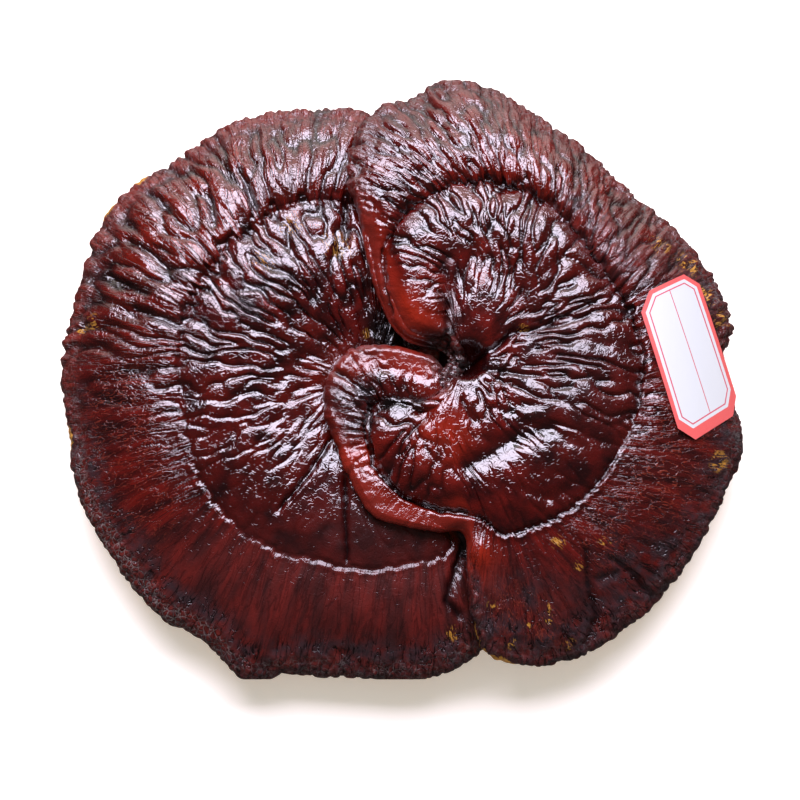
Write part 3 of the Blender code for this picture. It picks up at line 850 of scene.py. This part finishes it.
def right_calm(skin):
    """The far and right parts are wrinkled, the lips smooth and the near part calmer."""
    near = smooth_step(-12, -40, skin["y"]) * smooth_step(0, 20, skin["x"])
    faces = np.clip(spots(skin, SMOOTH_SPOTS), 0, 1)
    lips = on_lip(skin) * smooth_step(13, 9, skin["inside"])
    tongue = smooth_step(35, 37, skin["place"]) * smooth_step(-6, -16, skin["x"])
    return (1 - 0.6 * near) * (1 - (0.85 - 0.4 * tongue) * lips) * (1 - 0.6 * faces)


RIGHT_LOOK = {
    "seed": 31, "inner_ridge": 5.6, "outer_ridge": 4.8, "outer_length": 14, "rim_furrow": 7.5,
    "bead": 3.6, "swell": 0.4, "broad": 1.3, "stripe": 0.9,
    "calm": right_calm,
    "furrow": lambda skin: 1 - 0.8 * on_lip(skin) * (1 - on_near_lip(skin)),
    "swollen": lambda skin: np.maximum(smooth_step(-10, 30, skin["y"]), on_lip(skin)),
    "toes": lambda skin: ((0.4 + 0.9 * smooth_step(-10, 30, skin["y"]))
                          * (1 - 0.9 * on_lip(skin))),
    "rim_mark": lambda skin: (1 - on_lip(skin)) * 0.5 * smooth_step(-20, 30, skin["y"]),
    "crinkle": lambda skin: (0.5 * spots(skin, [(12, -22, 7), (4, 17, 7), (22, 13, 6),
                                                (-12, -6, 7)])
                             + 1.2 * spots(skin, [(16, -4, 6)])
                             + 0.8 * spots(skin, [(33, -88, 9), (50, -90, 8), (10, -30, 8)])
                             + 0.45 * spots(skin, [(-24, -17, 7), (-18, -38, 8), (-10, 0, 7)])
                             + 1.2 * (1 - on_lip(skin)) * smooth_step(13, 5, skin["inside"])
                             * smooth_step(50, 20, skin["y"])),
    "creases": [
        ([(-10.7, 57.2), (-1.9, 52.5)], 0.9, 1.6),
        ([(-6.8, 16.2), (-9.2, 25.1), (-9.9, 38.4)], 0.8, 1.0),
        ([(16.1, -1.8), (24.1, 1.7), (30.3, 5.2), (35.6, 9.5), (44.6, 11.2), (65.6, 21.6)],
         1.2, 1.6),
        ([(25.4, -3.3), (44.4, -6.1)], 1.0, 1.3),
        ([(12.9, 8.5), (12.3, 14), (12.7, 18)], 1.5, 1.2),
        ([(12.7, 18), (13.5, 25), (22.6, 39.1)], 2.2, 0.7),
        ([(17.4, -14.5), (21.5, -22.5)], 1.0, 1.2),
        ([(-26, -4.4), (-19.5, -8.5), (-13.7, -14)], 0.9, 1.5),
        ([(18.9, -52.9), (9.6, -52.3), (-2.3, -48.1), (-9.1, -41.6), (-13.3, -36.4), (-14, -27.7),
          (-14.4, -16)], 0.9, 1.6),
        ([(19.0, -37.1), (30.0, -31.3), (38.2, -26.4), (48.0, -23.6)], 3.2, 1.5),
        ([(37.8, -45.0), (45.6, -48.2), (54.0, -44.4)], 2.0, 0.9),
        ([(59.9, -65.3), (61, -77.5), (63.9, -86.8), (60.5, -96.5)], 1.4, 1.5),
        ([(69.6, -68.3), (76, -72.2), (83.5, -80.5)], 1.0, 1.5),
        ([(63.7, -75.1), (71.1, -72.6)], 0.9, 1.4),
    ],
}
RIGHT_CREST = 3.2

right_mesh = turned_blank("right_crust", RIGHT_RINGS)
right_skin = plain_cap(right_mesh, RIGHT_CENTRE, RIGHT_STATIONS, RIGHT_SWELLINGS, RIGHT_CREST,
                       above_left)
right_relief, right_values = crust_relief(right_skin, RIGHT_LOOK)
grow_skin(right_mesh, right_skin, right_relief)
press_label_bed(right_mesh)
print("right relief from", round(right_relief.min(), 1), "to", round(right_relief.max(), 1), "mm")

# %% [markdown]
# The right cap's colours change more from place to place.  The lips are young and red, the near
# margin is old, with a charcoal film, the skin beside the label has lost its gloss, and ochre
# flesh shows in small scars there and on the near lobe.

# %% Right cap's colour values
x, y, inside = right_skin["x"], right_skin["y"], right_skin["inside"]
at = partial(spots, right_skin)
off_lip = 1 - on_lip(right_skin)
lip = on_lip(right_skin) * smooth_step(13, 6, inside)
keep_values(right_mesh, {
    **right_values,
    "fibre": right_values["fibre"] * off_lip,
    # Painted shade: the troughs and furrows, the hollow under the tongue, the pit with the crease
    # above it, the furrow inside the near lip, and the right part of the inner zone.
    "deep": np.maximum.reduce([
        right_values["deep"], 0.85 * at([(-24, -13, 7), (-20, -24, 6)]),
        at([(17, -2, 8), (-9, -16, 4), (-3, -16, 4), (3, -15, 3), (13, 10, 2.5), (7, 6, 5),
            (12.5, 20, 3)]),
        0.45 * smooth_step(28, 42, x) * (1 - right_values["fibre"])]),
    "old": np.clip((smooth_step(18, 6, inside) * smooth_step(15, -25, y)
                    + at([(104, 30, 14), (75, -70, 12), (66, -88, 10)])
                    + 0.5 * at([(66, 47, 9), (75, 35, 8), (57, 56, 6)])
                    + 0.25 * at([(45, 93, 10), (62, 82, 10), (78, 67, 10), (93, 53, 10)])
                    + 0.8 * at([(40, -84, 12)])) * off_lip
                   + 0.5 * at([(-24, -14, 6), (-20, -24, 5), (-17, -8, 4)]), 0, 1),
    "web": smooth_step(8, 4, inside) * off_lip * (0.15 + 0.35 * smooth_step(-60, 0, y)
                                                  - 0.1 * smooth_step(60, 90, y)),
    "ember": np.clip(0.6 * at([(92, -32, 13), (84, -46, 12), (64, -60, 11), (98, -12, 10)])
                     + 0.5 * at([(33, -84, 9), (45, -93, 8)])
                     + 0.12 * lip * smooth_step(30.5, 32, right_skin["place"]), 0, 1),
    # Partly painted light: the two broad spots on the far and right outer band give it a lighter
    # red where the window lights it; the rest is the young skin's own red.
    "red": np.clip(0.45 * lip + 0.25 * at([(30, 85, 30), (70, 55, 30)])
                   + 0.5 * at([(2, 18, 8), (7, -4, 7), (-20, -32, 8)])
                   + 0.8 * at([(11, -27, 10), (22, -66, 5)]) + 0.4 * at([(24, -72, 7)]), 0, 1),
    "dull": np.clip(0.35 * smooth_step(45, 85, y) * smooth_step(20, 6, inside)
                    + 0.5 * smooth_step(-60, -85, y) + 0.3 * smooth_step(8, 4, inside)
                    + at([(104, 32, 15), (12.6, 34, 2.5), (12.5, 19.5, 2), (13, 13, 2.5),
                          (13.3, 8, 2.5)])
                    + 0.5 * at([(66, 47, 9), (75, 35, 8), (57, 56, 6)])
                    + 0.25 * at([(50, 8, 20), (62, -12, 16)])
                    + 0.2 * at([(98, -40, 25)]), 0, 1),
    "worn": (0.6 * at([(87, 42.6, 4), (104, 26, 4), (109, 18, 4), (98, 37, 5), (38.7, 11.2, 2),
                       (54.4, -96.7, 2.5), (27.4, -84.2, 2)])
             + 0.7 * at([(49.8, -62.7, 2.5), (66, -62.7, 2.2), (56.9, -70.6, 1.8),
                         (34.4, -96.7, 2), (107.5, -33, 4), (40, -90, 1.5)])
             + 1.2 * at([(47.1, -89, 1.4), (46.9, -86.5, 0.8), (46.8, -84, 0.8)])
             + 2.0 * growing_edge(right_skin, [(21, -92, 7), (30, -103, 6), (-15, 95, 5)])),
})
right_cap = add_piece("right_crust", right_mesh, "right_cap")

# %% [markdown]
# ## Stem
# Only a short oval stub is left of the stem, sawn off level.  Its side carries the same crust as
# the caps, and the cut shows the brown woody flesh.  It is a cone with caps whose side is divided
# and made knobbly.

# %% Stem
STEM_LENGTH, STEM_WIDTH, STEM_HEIGHT = 54.0, 42.0, 17.7
STEM_FLARE = 1.12
STEM_MARGIN = 0.985
KNOBS, GRIT = 0.035, 0.012
CUT_BORDER = 0.012

stem_shape = bmesh.new()
bmesh.ops.create_cone(stem_shape, cap_ends=True, segments=160, radius1=0.5, radius2=0.5,
                      depth=STEM_HEIGHT * MM,
                      matrix=Matrix.Translation((0, 0, 0.5 * STEM_HEIGHT * MM)))
waist = [e for e in stem_shape.edges
         if abs(e.verts[0].co.z - e.verts[1].co.z) > 0.5 * STEM_HEIGHT * MM]
bmesh.ops.subdivide_edges(stem_shape, edges=waist, cuts=24, use_grid_fill=False)
cut_faces = [f for f in stem_shape.faces if f.normal.z < -0.9]
bmesh.ops.inset_region(stem_shape, faces=cut_faces, thickness=CUT_BORDER, depth=0)
for face in stem_shape.faces:
    face.material_index = int(face.normal.z < -0.9)
    face.smooth = abs(face.normal.z) < 0.9
stem_mesh = bpy.data.meshes.new("cut_stem")
stem_shape.to_mesh(stem_mesh)
stem_shape.free()

points = read_points(stem_mesh)
level = points[:, 2] / (STEM_HEIGHT * MM)
turn = np.arctan2(points[:, 1], points[:, 0])
ring = np.column_stack([3 * np.cos(turn), 3 * np.sin(turn), 2 * level])
grit = smooth_noise(ring * (5, 5, 1), 6) * (level > 0.01)
rough = KNOBS * smooth_noise(ring, 5) + GRIT * grit
spread = (1 + (STEM_FLARE - 1) * level**2) / STEM_FLARE * (STEM_MARGIN + rough)
points[:, 0] *= STEM_LENGTH * MM * spread
points[:, 1] *= STEM_WIDTH * MM * spread
write_points(stem_mesh, points)
stem = add_piece("cut_stem", stem_mesh, "stem")

# %% [markdown]
# ## Paper label
# The label is a strip of paper with its corners cut off, stuck on and bent a little over the cap.
# Its print is only lines: a coral border, a thin frame inside it and a line down the middle.  The
# print could be a pattern in the material, but cut into the sheet's faces its edges stay crisp.
# Its face is blank.

# %% Label
BORDER, GAP_WIDTH, FRAME_LINE, MIDDLE_LINE = 1.5, 1.1, 0.45, 0.3
WIDER_END = 2.2
BEND_STRIP = 2.0
SHEET_THICKNESS = 0.2
PAPER, CORAL, PINK = 0, 1, 2

label_shape = bmesh.new()
corners = [label_shape.verts.new((x * MM, y * MM, 0)) for x, y in LABEL_OUTLINE]
sheet = label_shape.faces.new(corners)
bmesh.ops.recalc_face_normals(label_shape, faces=[sheet])
if sheet.normal.z < 0:
    sheet.normal_flip()
for width, ink in ((BORDER, CORAL), (GAP_WIDTH, PAPER), (FRAME_LINE, PINK)):
    border = bmesh.ops.inset_region(label_shape, faces=[sheet], thickness=width * MM,
                                    use_boundary=True, use_even_offset=True)["faces"]
    for face in border:
        face.material_index = ink
    if ink == CORAL:
        end = Vector((*label_end, 0)) * MM
        lower = sorted(sheet.verts, key=lambda v: (v.co - end).length)[:4]
        bmesh.ops.translate(label_shape, verts=lower,
                            vec=Vector((*label_axis, 0)) * -WIDER_END * MM)
sheet.material_index = PAPER

side = Vector((label_axis[1], -label_axis[0], 0))
middle = Vector((*(0.5 * (label_start + label_end)), 0))
for offset in (-0.5 * MIDDLE_LINE, 0.5 * MIDDLE_LINE):
    bmesh.ops.bisect_plane(label_shape, geom=label_shape.verts[:] + label_shape.edges[:]
                           + label_shape.faces[:], plane_no=side,
                           plane_co=(middle + side * offset) * MM)
print("label print:", len(label_shape.faces), "faces")

# %% [markdown]
# The middle line is inked, and the flat sheet is cut into strips 2 mm wide, so that it can bend.
# A modifier could bend it, but lifting every corner to the solid's own curve is simpler and
# exact.  It is 0.2 mm thick, as a stiff label is with its glue.

# %% Bend the label and give it thickness
LINE_GAP = 0.2

frame_end = 0.5 * label_length - BORDER - GAP_WIDTH - FRAME_LINE - LINE_GAP
for face in label_shape.faces:
    away = face.calc_center_median() / MM - middle
    beside, ahead = abs(away.dot(side)), away.dot(Vector((*label_axis, 0)))
    if beside < 0.5 * MIDDLE_LINE and -frame_end < ahead < frame_end - WIDER_END:
        face.material_index = PINK
first, last = (pick(x for x, _ in LABEL_OUTLINE) for pick in (min, max))
for k in range(1, math.ceil((last - first) / BEND_STRIP)):
    bmesh.ops.bisect_plane(label_shape, geom=label_shape.verts[:] + label_shape.edges[:]
                           + label_shape.faces[:], plane_co=((first + k * BEND_STRIP) * MM, 0, 0),
                           plane_no=(1, 0, 0))
lifted = bmesh.ops.extrude_face_region(label_shape, geom=label_shape.faces[:])["geom"]
upper = {item for item in lifted if isinstance(item, bmesh.types.BMVert)}
for vert in label_shape.verts:
    level = label_height(vert.co.x / MM, vert.co.y / MM)
    vert.co.z = (level + 0.5 * SHEET_THICKNESS * (1 if vert in upper else -1)) * MM
bmesh.ops.recalc_face_normals(label_shape, faces=label_shape.faces[:])
label_mesh = bpy.data.meshes.new("paper_label")
label_shape.to_mesh(label_mesh)
label_shape.free()
label = add_piece("paper_label", label_mesh, "label")

# %% [markdown]
# ## Materials
# One function turns an sRGB hex colour to the linear values that a shader needs, and one adds a
# node.  A node that is given as an input stands for its first live output.

# %% Colour and node helpers
def linear(code):
    """Linear red, green, blue and alpha of an sRGB hex colour."""
    parts = [int(code[k:k + 2], 16) / 255 for k in (1, 3, 5)]
    return tuple(((p + 0.055) / 1.055) ** 2.4 if p > 0.04045 else p / 12.92 for p in parts) + (1,)


def add_node(tree, kind, inputs=None, **settings):
    """Add a shader node with its settings, and set its inputs or link them to other nodes."""
    node = tree.nodes.new("ShaderNode" + kind)
    for name, value in settings.items():
        setattr(node, name, value)
    for name, value in (inputs or {}).items():
        if isinstance(value, bpy.types.Node):
            value = next(socket for socket in value.outputs if socket.enabled)
        if isinstance(value, bpy.types.NodeSocket):
            tree.links.new(value, node.inputs[name])
        else:
            node.inputs[name].default_value = value
    return node


def new_material(name):
    """An empty node material, and the function that adds nodes to it."""
    material = bpy.data.materials.new(name)
    material.use_nodes = True
    material.node_tree.nodes.clear()
    return material, partial(add_node, material.node_tree)


# %% [markdown]
# ### Lacquered crust
# The crust is a natural resin, smooth and hard as varnish, and it mirrors a window in crisp
# patches.  Its index of refraction is high, about 1.6 to 1.7.  So the shader is a clear coat over
# a dull red-brown body.  The body's colour is a stack of layers, each mixed in by its own share,
# as the real one is a stack of young orange-red skin and greyed resin, and over them a near-black
# layer of painted shade in the grooves, furrows, creases and hollows.

# %% Crust: the body's colour
crust, add = new_material("resin_lacquered_crust")
grain = add("Attribute", attribute_name="grain").outputs["Vector"]
place = add("TexCoord").outputs["Object"]
value = {name: add("Attribute", attribute_name=name).outputs["Fac"]
         for name in ("deep", "fibre", "wrinkle", "red", "dull", "old", "web", "ember", "worn")}

# Streaks 3 mm wide along the grain on the outer band, and patches of 8 mm within it
stretched = add("Mapping", {"Scale": (0.3, 0.3, 0.06), "Vector": grain})
long_streaks = add("TexNoise", {"Scale": 1.0, "Detail": 5.0, "Vector": stretched})
patches = add("TexNoise", {"Scale": 120.0, "Detail": 3.0, "Vector": place})
streaks = add("Mix", {0: value["fibre"], 2: patches, 3: long_streaks}, data_type="FLOAT")
tones = add("MapRange", {"From Min": 0.35, "From Max": 0.65, "Value": streaks})
body = add("Mix", {0: tones, 6: linear("#220405"), 7: linear("#560e09")}, data_type="RGBA")

# %% [markdown]
# Fine lines run along the grain of the outer band: dark troughs 1.5 mm apart, cracks through the
# charcoal film of the old margin, and raised orange strands half a millimetre wide.  They could
# be modelled, but they are finer than the mesh.  Each is a line where a stretched noise crosses
# its middle value.

# %% Crust: troughs, cracks and strands
def line_pattern(add, vector, stretch, detail, distortion, width):
    """1 on the thin lines where a stretched noise crosses its middle value, and the opposite."""
    placed = add("Mapping", {"Scale": stretch, "Vector": vector})
    field = add("TexNoise", {"Scale": 1.0, "Detail": detail, "Distortion": distortion,
                             "Vector": placed})
    centred = add("Math", {0: field, 1: 0.5}, operation="SUBTRACT")
    fold = add("Math", {0: centred}, operation="ABSOLUTE")
    beside = add("MapRange", {"From Max": width, "Value": fold}, interpolation_type="SMOOTHSTEP")
    return add("Math", {0: 1.0, 1: beside}, operation="SUBTRACT"), beside


on_trough, beside_trough = line_pattern(add, grain, (0.55, 0.55, 0.07), 2.0, 0.5, 0.05)
on_crack, _ = line_pattern(add, grain, (0.5, 0.5, 0.12), 3.0, 1.0, 0.03)
on_strand, _ = line_pattern(add, grain, (0.7, 0.7, 0.2), 2.0, 0.6, 0.03)
faint = add("Math", {0: on_trough, 1: 0.4}, operation="MULTIPLY")
film = add("TexNoise", {"Scale": 180.0, "Detail": 4.0, "Vector": place})
film_patch = add("MapRange", {"From Min": 0.38, "From Max": 0.62, "To Max": 0.8, "Value": film})
trough, charcoal, crack, strand = (
    add("Math", {0: value[name], 1: pattern}, operation="MULTIPLY")
    for name, pattern in (("fibre", faint), ("old", film_patch), ("old", on_crack),
                          ("ember", on_strand)))

# %% [markdown]
# The rim has brick-red beads of 2 mm with pale dust between them.  They are Voronoi cells, and
# the place that they read is stirred by a noise, because the real beads are uneven.

# %% Crust: beads and dust on the rim
stirring = add("TexNoise", {"Scale": 300.0, "Detail": 2.0, "Vector": place})
stirred = add("VectorMath", {0: stirring.outputs["Color"], 1: (0.003, 0.003, 0.003), 2: place},
              operation="MULTIPLY_ADD")
cells = add("TexVoronoi", {"Scale": 480.0, "Vector": stirred}, feature="DISTANCE_TO_EDGE")
on_bead = add("MapRange", {"From Min": 0.05, "From Max": 0.3, "Value": cells})
dusty_patch = add("MapRange", {"From Min": 0.35, "From Max": 0.55, "Value": stirring})
on_dust = add("MapRange", {"From Min": 0.01, "From Max": 0.08, "To Min": 0.8, "To Max": 0.0,
                           "Value": cells})
bead, dusty = (add("Math", {0: value["web"], 1: pattern}, operation="MULTIPLY")
               for pattern in (on_bead, dusty_patch))
dust = add("Math", {0: dusty, 1: on_dust}, operation="MULTIPLY")

# %% [markdown]
# Where the crust has worn through, ochre flesh shows in strokes 0.8 mm wide along the grain.
# Then all the layers are laid over the body in order, from the deepest to the last.

# %% Crust: bare flesh, and the stack of layers
stroke = add("Mapping", {"Scale": (1.2, 1.2, 0.35), "Vector": grain})
crumbs = add("TexNoise", {"Scale": 1.0, "Detail": 2.0, "Distortion": 1.2, "Vector": stroke})
crumb_patch = add("MapRange", {"From Min": 0.4, "From Max": 0.6, "Value": crumbs})
broken = add("Math", {0: value["worn"], 1: crumb_patch}, operation="ADD")
bare = add("MapRange", {"From Min": 1.15, "From Max": 1.5, "Value": broken})
aged = add("Math", {0: value["dull"], 1: 0.45}, operation="MULTIPLY")
# Painted shade: a near-black layer in the grooves, furrows, creases and hollows.
shade = add("Math", {0: value["deep"], 1: 0.95}, operation="MULTIPLY")

colour = body
for share, tone in ((value["red"], "#861e0b"), (aged, "#64322e"), (shade, "#090203"),
                    (trough, "#140304"), (charcoal, "#2b2427"), (crack, "#0c0404"),
                    (strand, "#803424"), (bead, "#5c1f18"), (dust, "#8a807a"), (bare, "#a8782c")):
    colour = add("Mix", {0: share, 6: colour, 7: linear(tone)}, data_type="RGBA")

# %% [markdown]
# The gloss is mirror-like on sound resin, satin where it is dull and matt where it is bare.  The
# finest relief is a bump of 0.07 mm: creases that wind about at 2 mm, the troughs, cracks and
# strands, and the beads.

# %% Crust: gloss and fine relief
_, beside_crease = line_pattern(add, place, (420.0, 420.0, 420.0), 1.0, 1.0, 0.12)
on_band = add("Math", {0: value["fibre"], 1: beside_trough}, operation="MULTIPLY")
lines = add("Math", {0: on_band, 1: 1.6, 2: beside_crease}, operation="MULTIPLY_ADD")
height = add("Math", {0: lines, 1: value["wrinkle"]}, operation="MULTIPLY")
for share, step in ((crack, -3.0), (strand, 2.0), (bead, 4.0)):
    height = add("Math", {0: share, 1: step, 2: height}, operation="MULTIPLY_ADD")
fine = add("Bump", {"Strength": 1.0, "Distance": 0.00007, "Height": height})

satin = add("MapRange", {"To Min": 0.22, "To Max": 0.5, "Value": value["dull"]})
roughness = add("Mix", {0: bare, 2: satin, 3: 0.7}, data_type="FLOAT")
varnish = add("MapRange", {"To Min": 1.0, "To Max": 0.1, "Value": value["dull"]})
shader = add("BsdfPrincipled", {
    "IOR": 1.5, "Specular IOR Level": 0.15, "Coat IOR": 1.7, "Coat Roughness": 0.07,
    "Coat Weight": varnish, "Base Color": colour, "Roughness": roughness, "Normal": fine,
    "Coat Normal": fine})
add("OutputMaterial", {"Surface": shader})
print("crust:", len(crust.node_tree.nodes), "nodes")

# %% [markdown]
# ### Pore side
# The underside is a mat of fine tubes, about five to a millimetre, dry and matt.  It is ochre
# yellow at the growing margin and tan further in.  So fine a grain wouldn't show, so the pores are
# drawn 0.8 mm apart, and their mouths are darkened with painted shade.

# %% Pore side
pore_side, add = new_material("matt_pore_surface")
place = add("TexCoord").outputs["Object"]
pores = add("TexVoronoi", {"Scale": 1250.0, "Vector": place})
patches = add("TexNoise", {"Scale": 60.0, "Detail": 5.0, "Vector": place})
tones = add("MapRange", {"From Min": 0.35, "From Max": 0.65, "Value": patches})
# Painted shade: the pore mouths are darkened, as the inside of a tube would be shaded.
pore_shade = add("MapRange", {"From Min": 0.1, "From Max": 0.4, "To Min": 0.75, "To Max": 0.0,
                        "Value": pores})
margin = add("Attribute", attribute_name="margin").outputs["Fac"]
colour = add("Mix", {0: tones, 6: linear("#a8743a"), 7: linear("#7a4a28")}, data_type="RGBA")
for share, tone in ((margin, "#d2a048"), (pore_shade, "#4a2c18")):
    colour = add("Mix", {0: share, 6: colour, 7: linear(tone)}, data_type="RGBA")
tubes = add("Bump", {"Strength": 0.6, "Distance": 0.0003, "Height": pores})
shader = add("BsdfPrincipled", {"Roughness": 0.85, "Base Color": colour, "Normal": tubes})
add("OutputMaterial", {"Surface": shader})

# %% [markdown]
# ### Sawn flesh
# The cut of the stem shows brown woody flesh, sawn and dry, with faint rings of growth and fine
# fibres that the saw has torn up.

# %% Sawn flesh
flesh, add = new_material("sawn_woody_flesh")
place = add("TexCoord").outputs["Object"]
fibres = add("TexNoise", {"Scale": 700.0, "Detail": 4.0, "Vector": place})
rings = add("TexWave", {"Scale": 45.0, "Distortion": 14.0, "Detail": 4.0, "Vector": place},
            wave_type="RINGS", rings_direction="Z")
tones = add("Math", {0: fibres, 1: rings.outputs["Fac"]}, operation="MULTIPLY")
colour = add("Mix", {0: tones, 6: linear("#5b3620"), 7: linear("#a27449")}, data_type="RGBA")
torn = add("Bump", {"Strength": 0.7, "Distance": 0.00012, "Height": fibres})
shader = add("BsdfPrincipled", {"Roughness": 0.8, "Base Color": colour, "Normal": torn})
add("OutputMaterial", {"Surface": shader})

# %% [markdown]
# ### Bark and printed paper
# The side of the stem is the same resin, in clots of 6 mm.  The label is wood-pulp paper, whose
# fibres of 0.4 mm mottle it and roughen it, and its two inks sink in and stay as matt as it is.
# All of them are two tones mixed by one noise, so one function makes them.

# %% Bark and printed paper
def mottled_material(name, first, second, share, noise, bump, finish):
    """A noise mixes a share of the second tone into the first, and roughens the surface."""
    material, add = new_material(name)
    mottle = add("TexNoise", {**noise, "Vector": add("TexCoord").outputs["Object"]})
    part = add("MapRange", {"To Max": share, "Value": mottle})
    colour = add("Mix", {0: part, 6: linear(first), 7: linear(second)}, data_type="RGBA")
    rough = add("Bump", {**bump, "Height": mottle})
    shader = add("BsdfPrincipled", {**finish, "Base Color": colour, "Normal": rough})
    add("OutputMaterial", {"Surface": shader})
    return material


bark = mottled_material("resin_lacquered_bark", "#1f0a08", "#5a1c12", 1.0,
                        {"Scale": 160.0, "Detail": 5.0}, {"Strength": 0.8, "Distance": 0.0008},
                        {"Roughness": 0.3, "IOR": 1.6})
prints = [mottled_material(name, tone, "#c9bcc4", 0.12, {"Scale": 2500.0, "Detail": 2.0},
                           {"Strength": 0.3, "Distance": 0.00005}, {"Roughness": 0.55})
          for name, tone in (("wood_pulp_paper", "#c5cbc8"), ("coral_ink", "#d24a42"),
                             ("pink_ink", "#c03c50"))]

# %% [markdown]
# The faces already hold the numbers of their materials: crust and pore side on the caps, bark and
# flesh on the stem, and paper and two inks on the label.

# %% Put the materials on
for piece, materials in ((left_cap, (crust, pore_side)), (right_cap, (crust, pore_side)),
                         (stem, (bark, flesh)), (label, prints)):
    for material in materials:
        piece.data.materials.append(material)
print("materials:", [m.name for m in bpy.data.materials])

# %% [markdown]
# ## Stage, light and camera
# The mushroom lies on a plain white board.  The board glows a little, so that the shadow on it
# stays light, and the crust doesn't mirror it, so that the slopes of the rim stay dark.

# %% Floor
FLOOR_HALF = 1.4
BOARD_WHITE = linear("#fbf6ec")

floor_shape = bmesh.new()
bmesh.ops.create_grid(floor_shape, x_segments=8, y_segments=8, size=FLOOR_HALF)
floor_mesh = bpy.data.meshes.new("floor")
floor_shape.to_mesh(floor_mesh)
floor_shape.free()
floor = bpy.data.objects.new("floor", floor_mesh)
bpy.context.scene.collection.objects.link(floor)
floor.visible_glossy = False
board, add = new_material("matt_white_board")
add("OutputMaterial", {"Surface": add("BsdfPrincipled", {
    "Base Color": BOARD_WHITE, "Roughness": 0.9, "Emission Color": BOARD_WHITE,
    "Emission Strength": 0.3})})
floor_mesh.materials.append(board)

# %% [markdown]
# One large window on the far side, half-way up, gives the lavender-white patches on the facets
# that lean away from the viewer.  A dim ceiling light fills the shadows.  The room is dark but
# for a glow behind the mushroom, which catches the far slopes, and the camera alone sees a white
# backdrop in place of the room.

# %% Window and room
def add_lamp(name, elevation, azimuth, distance, size, power, colour):
    """A rectangular area light that faces the mushroom."""
    light = bpy.data.lights.new(name, "AREA")
    light.shape = "RECTANGLE"
    light.size, light.size_y = size
    light.energy = power
    light.color = colour
    lamp = bpy.data.objects.new(name, light)
    up, around = math.radians(elevation), math.radians(azimuth)
    lamp.location = distance * Vector((math.sin(around) * math.cos(up),
                                       math.cos(around) * math.cos(up), math.sin(up)))
    lamp.rotation_euler = (-lamp.location).to_track_quat("-Z", "Y").to_euler()
    bpy.context.scene.collection.objects.link(lamp)
    return lamp


add_lamp("window", 49, 0, 1.6, (1.6, 1.1), 72, (0.83, 0.775, 0.955))
ceiling = add_lamp("ceiling_fill", 88, 180, 2.0, (2.4, 2.4), 15, (1.0, 0.96, 0.92))
ceiling.visible_glossy = False

room = bpy.data.worlds.new("room")
bpy.context.scene.world = room
room.use_nodes = True
room.node_tree.nodes.clear()
add = partial(add_node, room.node_tree)
axes = add("SeparateXYZ", {0: add("TexCoord").outputs["Generated"]})
behind = add("MapRange", {"From Min": 0.7, "From Max": 0.97, "To Min": 0.04, "To Max": 1.5,
                          "Value": axes.outputs["Y"]})
glow = add("Background", {"Color": (1.0, 0.97, 0.95, 1), "Strength": behind})
backdrop = add("Background", {"Color": linear("#ffffff"), "Strength": 1.0})
seen = add("MixShader", {0: add("LightPath").outputs["Is Camera Ray"], 1: glow, 2: backdrop})
add("OutputWorld", {"Surface": seen})

# %% [markdown]
# The photograph looks down on the caps from 80 degrees, so the camera does too, through a long
# lens that keeps the near and far edges at nearly the same scale.

# %% Camera
TARGET = Vector((-4, -11.5, 25)) * MM
DISTANCE, ELEVATION = 0.65, math.radians(80)
FOCAL_LENGTH, SENSOR = 83.1, 36.0

lens = bpy.data.cameras.new("camera")
lens.lens, lens.sensor_width = FOCAL_LENGTH, SENSOR
lens.clip_start = 0.01
camera = bpy.data.objects.new("camera", lens)
camera.location = TARGET + DISTANCE * Vector((0, -math.cos(ELEVATION), math.sin(ELEVATION)))
camera.rotation_euler = (TARGET - camera.location).to_track_quat("-Z", "Y").to_euler()
bpy.context.scene.collection.objects.link(camera)
bpy.context.scene.camera = camera
bpy.context.scene.view_settings.view_transform = "Standard"
